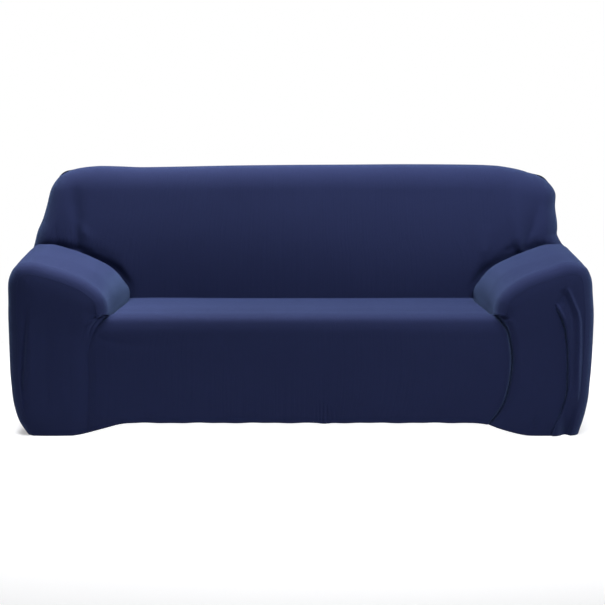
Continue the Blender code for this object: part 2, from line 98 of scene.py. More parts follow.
def curve_between(
    share: float, length: float, ends: Sequence[float], slopes: Sequence[float]
) -> float:
    """Read a cubic curve between two ends whose slopes are given.

    Args:
        share: Share of the way from the first end.
        length: Length from end to end, in the slopes' own unit.
        ends: Values at the two ends.
        slopes: Slopes at the two ends.

    Returns:
        The value at the share.
    """
    square, cube = share**2, share**3
    value = (2.0 * cube - 3.0 * square + 1.0) * ends[0]
    value += (3.0 * square - 2.0 * cube) * ends[1]
    value += (cube - 2.0 * square + share) * length * slopes[0]
    return value + (cube - square) * length * slopes[1]


def corner_ways(across: float, up: float, square: float) -> tuple[float, float]:
    """Find how far a point of a rounded corner goes out and up.

    Args:
        across: How far round the corner's end the point is.
        up: How far round the corner's top the point is.
        square: How square the corner is, from 2 for a true round.

    Returns:
        The shares of the corner's reach out and up.
    """
    turn = max(across, up)
    angle = math.pi / 4.0 * min(across, up) / turn if turn else 0.0
    least, most = math.sin(angle) ** (2.0 / square), math.cos(angle) ** (2.0 / square)
    return (least, most) if up > across else (most, least)


def spans_to_stations(spans: Sequence[tuple[float, float, int]]) -> list[float]:
    """Divide neighbouring spans into stations.

    Args:
        spans: Start, end and number of cells of each span, in order.

    Returns:
        The stations from the first start to the last end.
    """
    stations = [spans[0][0]]
    for start, end, cells in spans:
        stations += [blend(start, end, (cell + 1) / cells) for cell in range(cells)]
    return stations


def columns_across(
    limit: float, rounds: Sequence[float], flats: Sequence[float]
) -> list[tuple[Side, float, float]]:
    """Lay out columns from the left round over the flat middle to the right round.

    Args:
        limit: Reach from the middle at which both rounds start.
        rounds: How far round each column of a round is, rising.
        flats: Places across of the flat columns, from left to right.

    Returns:
        Side, reach from the middle and share of the round of each column.
    """
    left = [(Side.LEFT, limit, share) for share in reversed(rounds)]
    middle = [(Side.LEFT if x < 0.0 else Side.RIGHT, abs(x), 0.0) for x in flats]
    right = [(Side.RIGHT, limit, share) for share in rounds]
    return left + middle + right


def add_object(name: str, data: bpy.types.ID) -> bpy.types.Object:
    """Put a mesh, a light or a camera into the scene.

    Args:
        name: Name of the new object.
        data: Its mesh, light or camera.

    Returns:
        The object.
    """
    made = bpy.data.objects.new(name, data)
    bpy.context.scene.collection.objects.link(made)
    return made


def aim(thing: bpy.types.Object, place: Place, target: Place) -> None:
    """Stand a light or the camera at its place and turn it to its target.

    Args:
        thing: The light or the camera.
        place: Where it stands.
        target: What it looks at.
    """
    thing.location = place
    way = Vector(target) - Vector(place)
    thing.rotation_euler = way.to_track_quat("-Z", "Y").to_euler()


class SmoothTable:
    """A value read smoothly from a short table whose keys rise."""

    def __init__(self, rows: Sequence[tuple[float, float]]) -> None:
        """Keep the rows and work out a slope at each that never overshoots.

        Args:
            rows: Key and value of each row, keys rising.
        """
        self.keys = [key for key, _ in rows]
        self.values = [value for _, value in rows]
        count = len(rows)
        steps = [self.keys[i + 1] - self.keys[i] for i in range(count - 1)]
        rises = [(self.values[i + 1] - self.values[i]) / steps[i] for i in range(count - 1)]
        self.slopes = [rises[0]] + [0.0] * (count - 2) + [rises[-1]]
        for i in range(1, count - 1):
            before, after = rises[i - 1], rises[i]
            if before * after > 0.0:
                self.slopes[i] = 2.0 * before * after / (before + after)

    def at(self, key: float) -> float:
        """Return the value at a key, held level past both ends.

        Args:
            key: Where to read, as one of the keys or between two.

        Returns:
            The value, held level past both ends.
        """
        if key <= self.keys[0]:
            return self.values[0]
        if key >= self.keys[-1]:
            return self.values[-1]
        i = bisect_right(self.keys, key) - 1
        step = self.keys[i + 1] - self.keys[i]
        share = (key - self.keys[i]) / step
        ends, slopes = self.values[i : i + 2], self.slopes[i : i + 2]
        return curve_between(share, step, ends, slopes)


class Section:
    """A smooth curve through the rows of a table, read at a position counted in rows."""

    def __init__(self, columns: Sequence[str], rows: Sequence[tuple[float, ...]]) -> None:
        """Keep the columns; the first two are the curve's own across and up.

        Args:
            columns: Names of the columns.
            rows: One value for each column, for each row.
        """
        self.columns = {name: [row[k] for row in rows] for k, name in enumerate(columns)}
        places = [(row[0], row[1]) for row in rows]
        self.lengths = [math.dist(places[i], places[i + 1]) for i in range(len(rows) - 1)]

    def slope(self, values: Sequence[float], row: int) -> float:
        """Return the slope of a column at a row, per metre along the curve.

        Args:
            values: The column's values.
            row: Which row.

        Returns:
            The slope.
        """
        last = len(self.lengths)
        if row == 0:
            return (values[1] - values[0]) / self.lengths[0]
        if row == last:
            return (values[last] - values[last - 1]) / self.lengths[last - 1]
        before, after = self.lengths[row - 1], self.lengths[row]
        slope_in = (values[row] - values[row - 1]) / before
        slope_out = (values[row + 1] - values[row]) / after
        return (slope_in * after + slope_out * before) / (before + after)

    def at(self, name: str, position: float) -> float:
        """Read one column between the rows.

        Args:
            name: Name of the column.
            position: Position on the curve, counted in rows.

        Returns:
            The column's value there.
        """
        values = self.columns[name]
        row = min(int(position), len(self.lengths) - 1)
        slopes = (self.slope(values, row), self.slope(values, row + 1))
        return curve_between(position - row, self.lengths[row], values[row : row + 2], slopes)

    def stations(self, pitch: float) -> list[float]:
        """Find positions that divide the curve evenly and meet every row.

        Args:
            pitch: Wanted length between two of them.

        Returns:
            The positions, counted in rows.
        """
        found = [0.0]
        for row, length in enumerate(self.lengths):
            cells = max(round(length / pitch), 2)
            found += [row + (cell + 1) / cells for cell in range(cells)]
        return found


class Line:
    """A polyline read by the share of its length."""

    def __init__(self, points: Sequence[Vector]) -> None:
        """Keep the points and the length up to each of them.

        Args:
            points: The points, in order.
        """
        self.points = list(points)
        self.reach = [0.0]
        for i in range(1, len(self.points)):
            self.reach.append(self.reach[-1] + (self.points[i] - self.points[i - 1]).length)

    def at(self, share: float) -> Vector:
        """Find a point of the line.

        Args:
            share: Share of the length, from 0 to 1.

        Returns:
            The point.
        """
        length = min(max(share, 0.0), 1.0) * self.reach[-1]
        i = min(max(bisect_right(self.reach, length) - 1, 0), len(self.points) - 2)
        step = self.reach[i + 1] - self.reach[i]
        return self.points[i].lerp(self.points[i + 1], (length - self.reach[i]) / step)


class Nearness:
    """Distance from a line in the upright plane across the sofa."""

    def __init__(self, line: Line, pitch: float = 0.001) -> None:
        """Lay close points along the line for looking up.

        Args:
            line: The line to measure from.
            pitch: Length between two of the points.
        """
        count = max(int(line.reach[-1] / pitch), 2)
        self.tree = KDTree(count + 1)
        for i in range(count + 1):
            point = line.at(i / count)
            self.tree.insert((point.x, 0.0, point.z), i)
        self.tree.balance()

    def at(self, x: float, z: float) -> float:
        """Return the distance from a place to the line."""
        return self.tree.find((x, 0.0, z))[2]


@dataclass(frozen=True)
class Fold:
    """A fold of the cloth along a line of points.

    Each point gives its place across and up, how far the cloth stands proud there (below zero for
    a trough) and how wide the fold is.
    """

    name: str
    points: tuple[tuple[float, float, float, float], ...]
    shape: FoldShape = FoldShape.SOFT
    fade: float = 0.0

    def nearest(self, across: float, up: float) -> tuple[float, float, float]:
        """Find the fold's place nearest to a point.

        Args:
            across: The point's place across.
            up: The point's place up.

        Returns:
            Signed gap to the fold's line, and the height and width there.
        """
        best = (math.inf, 0.0, 1.0)
        for (x0, z0, h0, w0), (x1, z1, h1, w1) in zip(self.points, self.points[1:]):
            run_x, run_z = x1 - x0, z1 - z0
            off_x, off_z = across - x0, up - z0
            share = (off_x * run_x + off_z * run_z) / (run_x**2 + run_z**2)
            share = min(max(share, 0.0), 1.0)
            gap = math.hypot(off_x - run_x * share, off_z - run_z * share)
            if gap < abs(best[0]):
                left = run_x * off_z - run_z * off_x >= 0.0
                best = (gap if left else -gap, blend(h0, h1, share), blend(w0, w1, share))
        return best

    def lift(self, across: float, up: float) -> float:
        """Find how far the fold raises the cloth.

        Args:
            across: The point's place across.
            up: The point's place up.

        Returns:
            The lift, below zero in a trough.
        """
        margin = FOLD_REACH * max(point[3] for point in self.points) + self.fade
        low = min(point[0] for point in self.points) - margin
        high = max(point[0] for point in self.points) + margin
        if not low < across < high:
            return 0.0
        gap, height, width = self.nearest(across, up)
        if self.shape is FoldShape.SOFT:
            return height * math.exp(-((gap / width) ** 2))
        if self.shape is FoldShape.PINCHED:
            return height * math.exp(PINCH_ROUND - math.hypot(gap / width, PINCH_ROUND))
        rise = ease(gap / width + 0.5)
        return height * rise * (1.0 - ease((gap - width) / self.fade))


def fold_lift(folds: Sequence[Fold], across: float, up: float) -> float:
    """Return how far a set of folds raises the cloth at a point."""
    return sum(fold.lift(across, up) for fold in folds)


@dataclass(frozen=True)
class Slack:
    """Gentle unevenness of stretched cloth."""

    size: float = 0.0012
    pitch: float = 4.0
    layer: float = 0.0

    def at(self, across: float, up: float) -> float:
        """Return how far the cloth wanders at a point."""
        place = Vector((across * self.pitch, up * self.pitch, self.layer))
        return self.size * noise.noise(place)


@dataclass(frozen=True)
class KnitFinish:
    """Matt navy stretch knit, with fine wales, faint stretch lines and a soft bloom."""

    colour: Colour = (0.0088, 0.0122, 0.0400, 1.0)
    worn_colour: Colour = (0.0106, 0.0149, 0.0470, 1.0)
    roughness: float = 0.85
    gloss: float = 0.04
    bloom: float = 0.14
    bloom_spread: float = 0.35
    bloom_tint: Colour = (0.34, 0.55, 1.0, 1.0)
    wale: float = 0.0013
    course: float = 0.0010
    knit_depth: float = 0.00012
    line_depth: float = 0.0009
    patch_scale: Place = (3.0, 3.0, 1.0)
    patch_detail: float = 3.0
    stitch_scale: Place = (420.0, 300.0, 1.0)
    stitch_detail: float = 1.0
    stitch_share: float = 0.35
    line_scale: Place = (85.0, 3.5, 1.0)
    line_detail: float = 2.0
    course_share: float = 0.5

    def material(self, name: str, grain: Grain) -> bpy.types.Material:
        """Make the finish of one panel.

        Args:
            name: Name of the panel.
            grain: Which way its knit runs.

        Returns:
            The material, whose pattern follows the panel's own weave map.
        """
        material = bpy.data.materials.new(name + "_navy_knit")
        material.use_nodes = True
        tree = material.node_tree
        shader = tree.nodes["Principled BSDF"]
        shader.inputs["Roughness"].default_value = self.roughness
        shader.inputs["Specular IOR Level"].default_value = self.gloss
        shader.inputs["Sheen Weight"].default_value = self.bloom
        shader.inputs["Sheen Roughness"].default_value = self.bloom_spread
        shader.inputs["Sheen Tint"].default_value = self.bloom_tint
        weave = tree.nodes.new("ShaderNodeUVMap")
        weave.uv_map = WEAVE_MAP
        turned = tree.nodes.new("ShaderNodeMapping")
        turned.inputs["Rotation"].default_value = (0.0, 0.0, grain.value)
        tree.links.new(weave.outputs["UV"], turned.inputs["Vector"])
        place = turned.outputs["Vector"]
        self.dye(tree, place, shader)
        self.relief(tree, place, shader)
        return material

    def dye(
        self, tree: bpy.types.NodeTree, place: bpy.types.NodeSocket, shader: bpy.types.Node
    ) -> None:
        """Vary the colour a little, in patches and from stitch to stitch.

        Args:
            tree: The material's nodes.
            place: Place on the weave map.
            shader: The material's shader.
        """
        patches = self.cloud(tree, place, self.patch_scale, self.patch_detail)
        stitches = self.cloud(tree, place, self.stitch_scale, self.stitch_detail)
        both = tree.nodes.new("ShaderNodeMix")
        both.inputs["Factor"].default_value = self.stitch_share
        tree.links.new(patches, both.inputs["A"])
        tree.links.new(stitches, both.inputs["B"])
        colours = tree.nodes.new("ShaderNodeMix")
        colours.data_type = "RGBA"
        colours.inputs["A"].default_value = self.colour
        colours.inputs["B"].default_value = self.worn_colour
        tree.links.new(both.outputs["Result"], colours.inputs["Factor"])
        tree.links.new(colours.outputs["Result"], shader.inputs["Base Color"])

    def relief(
        self, tree: bpy.types.NodeTree, place: bpy.types.NodeSocket, shader: bpy.types.Node
    ) -> None:
        """Raise the wales and courses of the knit over faint upright stretch lines.

        Args:
            tree: The material's nodes.
            place: Place on the weave map.
            shader: The material's shader.
        """
        split = tree.nodes.new("ShaderNodeSeparateXYZ")
        tree.links.new(place, split.inputs["Vector"])
        wales = self.wave(tree, split.outputs["X"], self.wale)
        courses = self.wave(tree, split.outputs["Y"], self.course)
        stitch = tree.nodes.new("ShaderNodeMath")
        stitch.operation = "MULTIPLY_ADD"
        tree.links.new(courses, stitch.inputs[0])
        stitch.inputs[1].default_value = self.course_share
        tree.links.new(wales, stitch.inputs[2])
        lines = self.cloud(tree, place, self.line_scale, self.line_detail)
        coarse = self.bump(tree, lines, self.line_depth)
        fine = self.bump(tree, stitch.outputs["Value"], self.knit_depth)
        tree.links.new(coarse.outputs["Normal"], fine.inputs["Normal"])
        tree.links.new(fine.outputs["Normal"], shader.inputs["Normal"])

    @staticmethod
    def bump(
        tree: bpy.types.NodeTree, height: bpy.types.NodeSocket, depth: float
    ) -> bpy.types.Node:
        """Make a bump of full strength.

        Args:
            tree: The material's nodes.
            height: Height that it reads.
            depth: Real depth of a height of 1.

        Returns:
            The bump node.
        """
        bump = tree.nodes.new("ShaderNodeBump")
        bump.inputs["Strength"].default_value = 1.0
        bump.inputs["Distance"].default_value = depth
        tree.links.new(height, bump.inputs["Height"])
        return bump

    @staticmethod
    def cloud(
        tree: bpy.types.NodeTree,
        place: bpy.types.NodeSocket,
        scale: Place,
        detail: float,
    ) -> bpy.types.NodeSocket:
        """Make soft noise, stretched by its scale.

        Args:
            tree: The material's nodes.
            place: Place on the weave map.
            scale: Blots to a metre, along the three axes.
            detail: How fine the noise is.

        Returns:
            Its height, from 0 to 1.
        """
        stretched = tree.nodes.new("ShaderNodeMapping")
        stretched.inputs["Scale"].default_value = scale
        tree.links.new(place, stretched.inputs["Vector"])
        cloud = tree.nodes.new("ShaderNodeTexNoise")
        cloud.inputs["Scale"].default_value = 1.0
        cloud.inputs["Detail"].default_value = detail
        tree.links.new(stretched.outputs["Vector"], cloud.inputs["Vector"])
        return cloud.outputs["Fac"]

    @staticmethod
    def wave(
        tree: bpy.types.NodeTree, place: bpy.types.NodeSocket, pitch: float
    ) -> bpy.types.NodeSocket:
        """Make even ribs.

        Args:
            tree: The material's nodes.
            place: Place across the ribs.
            pitch: Length between two ribs.

        Returns:
            Their height, from -1 to 1.
        """
        turns = tree.nodes.new("ShaderNodeMath")
        turns.operation = "MULTIPLY"
        turns.inputs[1].default_value = 2.0 * math.pi / pitch
        tree.links.new(place, turns.inputs[0])
        ribs = tree.nodes.new("ShaderNodeMath")
        ribs.operation = "SINE"
        tree.links.new(turns.outputs["Value"], ribs.inputs[0])
        return ribs.outputs["Value"]


@dataclass(frozen=True)
class SofaForm:
    """Shape that the cover takes on its sofa: the sizes that its panels share."""

    front_y: float = -0.431
    rear_depth: float = 0.880
    cloth: float = 0.002
    seam_gap: float = 0.0003
    hem_lift: float = 0.0008
    half_width: float = 1.0
    top: float = 0.909
    face_foot_depth: float = 0.560
    face_foot_height: float = 0.410
    face_lean: float = 0.22
    rear_seam_depth: float = 0.820
    front_round: float = 0.050
    front_seam_turn: float = math.radians(75.0)
    corner_square: float = 3.0
    web_high: float = 0.596
    web_low: float = 0.580
    web_reach: float = 0.049
    droop_start: float = 0.61
    hem_rise: float = 0.043
    hem_rise_ends: float = 0.600
    hem_dip: float = 0.0035
    hem_dip_place: float = 0.083
    hem_dip_width: float = 0.024

    # Height, turns across the sofa and start of each ripple of the raised hem.
    hem_ripples: tuple[tuple[float, float, float], ...] = ((0.0008, 31.0, 0.0), (0.0006, 67.0, 1.0))
    hem_floor_starts: float = 0.815

    # Half width of the cover's outline at each height, left and right.
    outlines: dict[Side, SmoothTable] = field(
        default_factory=lambda: {
            Side.LEFT: SmoothTable(
                (
                    (0.000, 0.995), (0.050, 1.014), (0.100, 1.023), (0.190, 1.034),
                    (0.340, 1.043), (0.460, 1.046), (0.580, 1.040), (0.596, 1.030),
                    (0.660, 1.016), (0.710, 0.999), (0.780, 0.982), (0.830, 0.972),
                    (0.909, 0.944),
                )
            ),
            Side.RIGHT: SmoothTable(
                (
                    (0.000, 0.995), (0.050, 1.014), (0.100, 1.023), (0.190, 1.034),
                    (0.340, 1.043), (0.460, 1.046), (0.580, 1.040), (0.596, 1.026),
                    (0.630, 1.004), (0.660, 0.992), (0.710, 0.987), (0.780, 0.981),
                    (0.830, 0.984), (0.909, 0.957),
                )
            ),
        }
    )

    # How far the top of the back droops at each reach from the middle, left and right.
    droops: dict[Side, SmoothTable] = field(
        default_factory=lambda: {
            Side.LEFT: SmoothTable(
                ((0.0, 0.0055), (0.25, 0.0078), (0.50, 0.0123), (0.667, 0.0148), (0.76, 0.0115),
                 (0.833, 0.0100), (0.865, 0.0115), (0.898, 0.0145), (0.932, 0.0197),
                 (0.964, 0.0260), (1.0, 0.0260))
            ),
            Side.RIGHT: SmoothTable(
                ((0.0, 0.0055), (0.20, 0.0045), (0.42, 0.0032), (0.56, 0.0036), (0.70, 0.0050),
                 (0.80, 0.0090), (0.841, 0.0145), (0.874, 0.0202), (0.906, 0.0276),
                 (0.938, 0.0375), (0.971, 0.0430), (1.0, 0.0430))
            ),
        }
    )

    # How far each side sways outwards at each height, beyond the plain outline of its arm.
    sways: dict[Side, SmoothTable] = field(
        default_factory=lambda: {
            Side.LEFT: SmoothTable(
                ((0.0, 0.006), (0.05, 0.008), (0.10, 0.009), (0.19, 0.009), (0.28, 0.007),
                 (0.40, 0.004), (0.50, 0.003), (0.56, 0.005), (0.60, 0.004), (0.66, 0.002),
                 (0.72, 0.0), (0.92, 0.0))
            ),
            Side.RIGHT: SmoothTable(
                ((0.0, 0.018), (0.03, 0.008), (0.06, 0.003), (0.10, 0.002), (0.30, 0.002),
                 (0.40, 0.001), (0.46, -0.001), (0.52, -0.005), (0.56, -0.004), (0.59, -0.004),
                 (0.61, -0.011), (0.64, -0.010), (0.67, -0.002), (0.70, 0.0), (0.92, 0.0))
            ),
        }
    )
    sway_starts: float = 0.80
    sway_run: float = 0.18

    # Section of an arm from its outer hem over the crown to its tuck, at the front round and where
    # its straight runs reach the rear seam.
    arm: Section = field(
        default_factory=lambda: Section(
            ("front_x", "front_z", "rear_x", "rear_z"),
            (
                (0.967, 0.000, 0.995, 0.000),
                (0.996, 0.050, 1.014, 0.050),
                (1.010, 0.100, 1.023, 0.100),
                (1.020, 0.190, 1.034, 0.190),
                (1.027, 0.340, 1.043, 0.340),
                (1.029, 0.460, 1.046, 0.460),
                (1.019, 0.566, 1.040, 0.580),
                (1.007, 0.590, 1.0355, 0.5968),
                (0.988, 0.607, 1.0137, 0.6137),
                (0.948, 0.614, 0.957, 0.625),
                (0.878, 0.597, 0.863, 0.6015),
                (0.802, 0.571, 0.788, 0.569),
                (0.738, 0.536, 0.709, 0.527),
                (0.692, 0.490, 0.666, 0.480),
                (0.679, 0.437, 0.648, 0.445),
                (0.679, 0.391, 0.648, 0.397),
            ),
        )
    )
    arm_near_line: float = 0.05
    arm_level_height: float = 0.150
    arm_shoulder: int = 6
    arm_edge: int = 7
    arm_outer_corner: int = 8
    arm_inner_corner: int = 13
    arm_inner_row: int = 14

    # Run of the seat and apron from the rear tuck to the hem: half width left and right, and how
    # far the sides turn down beside the arms.
    seat: Section = field(
        default_factory=lambda: Section(
            ("depth", "height", "left", "right", "bend"),
            (
                (0.5480, 0.375, 0.6570, 0.6570, 0.0),
                (0.5535, 0.400, 0.6575, 0.6575, 0.0),
                (0.5350, 0.4145, 0.6580, 0.6580, 0.0),
                (0.4900, 0.4180, 0.6569, 0.6569, 1.0),
                (0.3000, 0.4240, 0.6644, 0.6644, 1.0),
                (0.1000, 0.4295, 0.6722, 0.6722, 1.0),
                (0.0520, 0.4250, 0.6790, 0.6790, 0.0),
                (0.0260, 0.4110, 0.6980, 0.6980, 0.0),
                (0.0130, 0.3840, 0.7215, 0.7205, 0.0),
                (0.0090, 0.3350, 0.7420, 0.7340, 0.0),
                (0.0110, 0.2050, 0.7480, 0.7370, 0.0),
                (0.0130, 0.1230, 0.7530, 0.7120, 0.0),
                (0.0140, 0.0470, 0.7580, 0.6630, 0.0),
            ),
        )
    )
    seat_lip: int = 6
    seat_apron: int = 9
    seat_hem: int = 12

    def place(self, x: float, depth: float, z: float) -> Vector:
        """Turn a place on the sofa into a point, with the sway of its side.

        Args:
            x: Place across.
            depth: Depth behind the arm fronts.
            z: Height.

        Returns:
            The point.
        """
        side = Side.LEFT if x < 0.0 else Side.RIGHT
        sway = self.sways[side].at(z) * ease((abs(x) - self.sway_starts) / self.sway_run)
        return Vector((x + side.value * sway, self.front_y + depth, z))

    def outline(self, side: Side, z: float) -> float:
        """Return the half width of the cover at a height."""
        return self.outlines[side].at(z)

    def face_depth(self, z: float) -> float:
        """Return the depth of the leaning face of the back."""
        return self.face_foot_depth + self.face_lean * (z - self.face_foot_height)

    def warp(self, side: Side, x: float, z: float) -> tuple[float, float]:
        """Carry a point of the plain rounded box onto the swelling and drooping outline.

        Args:
            side: Which end of the back.
            x: Place across on the plain box.
            z: Height on the plain box.

        Returns:
            The place across, counted outwards, and the height.
        """
        rise = ease((z - self.droop_start) / (self.top - self.droop_start))
        wide = x * self.outline(side, z) / self.half_width
        return wide, z - self.droops[side].at(abs(x)) * rise

    def hem_height(self, x: float) -> float:
        """Find the height of the front hem above the floor.

        Args:
            x: Place across.

        Returns:
            The height.
        """
        share = (abs(x) - self.hem_rise_ends) / (self.hem_floor_starts - self.hem_rise_ends)
        dip = self.hem_dip * math.exp(-(((x - self.hem_dip_place) / self.hem_dip_width) ** 2))
        ripple = sum(size * math.sin(x * turns + start) for size, turns, start in self.hem_ripples)
        free = 1.0 - ease(share)
        return self.hem_lift + (self.hem_rise + ripple - dip) * free

    def arm_point(self, line: float, depth: float) -> tuple[float, float]:
        """Find a point of an arm's section.

        Args:
            line: Position on the section, counted in rows.
            depth: Depth behind the arm fronts.

        Returns:
            The place across, counted outwards, and the height.
        """
        run = (depth - self.front_round) / (self.rear_seam_depth - self.front_round)
        x = blend(self.arm.at("front_x", line), self.arm.at("rear_x", line), run)
        return x, blend(self.arm.at("front_z", line), self.arm.at("rear_z", line), run)

    def arm_inward(self, line: float) -> tuple[float, float]:
        """Find the way into the arm from its front section, level near the floor.

        Args:
            line: Position on the section.

        Returns:
            The unit way across and up.
        """
        last = len(self.arm.lengths)
        x0, z0 = self.arm_point(max(line - self.arm_near_line, 0.0), self.front_round)
        x1, z1 = self.arm_point(min(line + self.arm_near_line, last), self.front_round)
        length = math.hypot(x1 - x0, z1 - z0)
        _, z = self.arm_point(line, self.front_round)
        return (z0 - z1) / length, (x1 - x0) / length * ease(z / self.arm_level_height)

    def arm_brow(self, side: Side, line: float, turn: float) -> Vector:
        """Return a point on the round of an arm's front edge.

        Args:
            side: Which arm.
            line: Position on the arm's section.
            turn: How far round, from 0 on the arm to 90 degrees on its front.

        Returns:
            The point.
        """
        x, z = self.arm_point(line, self.front_round)
        in_x, in_z = self.arm_inward(line)
        inset = self.front_round * (1.0 - math.cos(turn))
        high = max(z + in_z * inset, self.hem_lift)
        depth = self.front_round * (1.0 - math.sin(turn))
        return self.place(side.value * (x + in_x * inset), depth, high)

    def seat_edge(self, side: Side, line: float) -> float:
        """Return the half width of the seat and apron on a line of their run."""
        return self.seat.at("left" if side is Side.LEFT else "right", line)

    def apron_height(self, x: float, line: float) -> float:
        """Find the height of the seat or apron, whose last lines follow the rising hem.

        Args:
            x: Place across.
            line: Position on the run.

        Returns:
            The height.
        """
        hang = ease((line - self.seat_apron) / (self.seat_hem - self.seat_apron))
        low = self.seat.columns["height"][-1]
        return self.seat.at("height", line) + (self.hem_height(x) - low) * hang

    def apron_seam(self, side: Side, line: float, gap: float = 0.0) -> Vector:
        """Return a point of the seam between the apron and an arm front, a gap outside it."""
        x = side.value * (self.seat_edge(side, line) + gap)
        return self.place(x, self.seat.at("depth", line), self.apron_height(x, line))

    def web_height(self, depth: float, gap: float) -> float:
        """Find the height of the seam where a back's end meets the arm under it.

        Args:
            depth: Depth behind the arm fronts.
            gap: Clearance above the arm.

        Returns:
            The height.
        """
        high = self.face_depth(self.web_high) + self.web_reach
        share = (self.rear_seam_depth - depth) / (self.rear_seam_depth - high)
        share = min(max(share, 0.0), 1.0)
        return self.arm_point(self.arm_shoulder + share, depth)[1] + gap


@dataclass
class Panel:
    """One panel of the cover: a fine grid that is carried onto its place."""

    name: str
    slot: str
    form: SofaForm
    finish: KnitFinish
    flat: tuple[float, float]
    flat_area: float
    grain: Grain = Grain.UPRIGHT
    crisp_angle: float = math.radians(60.0)

    def size(self) -> tuple[int, int]:
        """Return the numbers of cells across and up."""
        raise NotImplementedError

    def place(self, i: int, j: int) -> Vector:
        """Return where a corner of the grid goes."""
        raise NotImplementedError

    def settle(self, builder: bmesh.types.BMesh) -> None:
        """Move the placed grid further, where a panel needs it."""

    def build(self) -> bpy.types.Object:
        """Make the panel's mesh, dress it and hand it to the frame.

        Returns:
            The finished panel.
        """
        columns, rows = self.size()
        builder = bmesh.new()
        bmesh.ops.create_grid(builder, x_segments=columns, y_segments=rows, size=0.5)
        builder.verts.ensure_lookup_table()
        corners = {}
        for vertex in builder.verts:
            i = round((vertex.co.x + 0.5) * columns)
            j = round((vertex.co.y + 0.5) * rows)
            corners[vertex.index] = (i, j)
            vertex.co = self.place(i, j)
        self.settle(builder)
        self.lay_weave(builder, corners, columns, rows)
        mesh = bpy.data.meshes.new(self.name + "_cloth")
        builder.to_mesh(mesh)
        builder.free()
        sheet = add_object(self.name + "_cloth", mesh)
        self.thicken(sheet)
        sheet.data.materials.append(self.finish.material(self.name, self.grain))
        self.hand_over(sheet)
        return sheet

    @staticmethod
    def lay_weave(
        builder: bmesh.types.BMesh,
        corners: dict[int, tuple[int, int]],
        columns: int,
        rows: int,
    ) -> None:
        """Map the cloth in metres, along its middle column and its middle row.

        Args:
            builder: The placed grid.
            corners: Column and row of each vertex.
            columns: Number of cells across.
            rows: Number of cells up.
        """
        grid = {corner: builder.verts[index].co for index, corner in corners.items()}
        middle_row, middle_column = rows // 2, columns // 2
        across, up = [0.0], [0.0]
        for i in range(columns):
            step = grid[i + 1, middle_row] - grid[i, middle_row]
            across.append(across[-1] + step.length)
        for j in range(rows):
            step = grid[middle_column, j + 1] - grid[middle_column, j]
            up.append(up[-1] + step.length)
        weave = builder.loops.layers.uv.new(WEAVE_MAP)
        for face in builder.faces:
            for loop in face.loops:
                i, j = corners[loop.vert.index]
                loop[weave].uv = (across[i], up[j])

    def thicken(self, sheet: bpy.types.Object) -> None:
        """Put the cloth's thickness round a sheet and keep its cut edges crisp.

        Args:
            sheet: The sheet.
        """
        solid = sheet.modifiers.new("cloth", "SOLIDIFY")
        solid.thickness = self.form.cloth
        solid.offset = 0.0
        graph = bpy.context.evaluated_depsgraph_get()
        thick = bpy.data.meshes.new_from_object(sheet.evaluated_get(graph))
        sheet.modifiers.clear()
        sheet.data = thick
        thick.shade_smooth()
        thick.set_sharp_from_angle(angle=self.crisp_angle)

    def hand_over(self, sheet: bpy.types.Object) -> None:
        """Attach the sheet to the body and hide the CAD part that it stands in for.

        Args:
            sheet: The finished sheet.
        """
        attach(sheet, BODY)
        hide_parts(self.name)
        LOG.info("%s: %d faces", self.name, len(sheet.data.polygons))


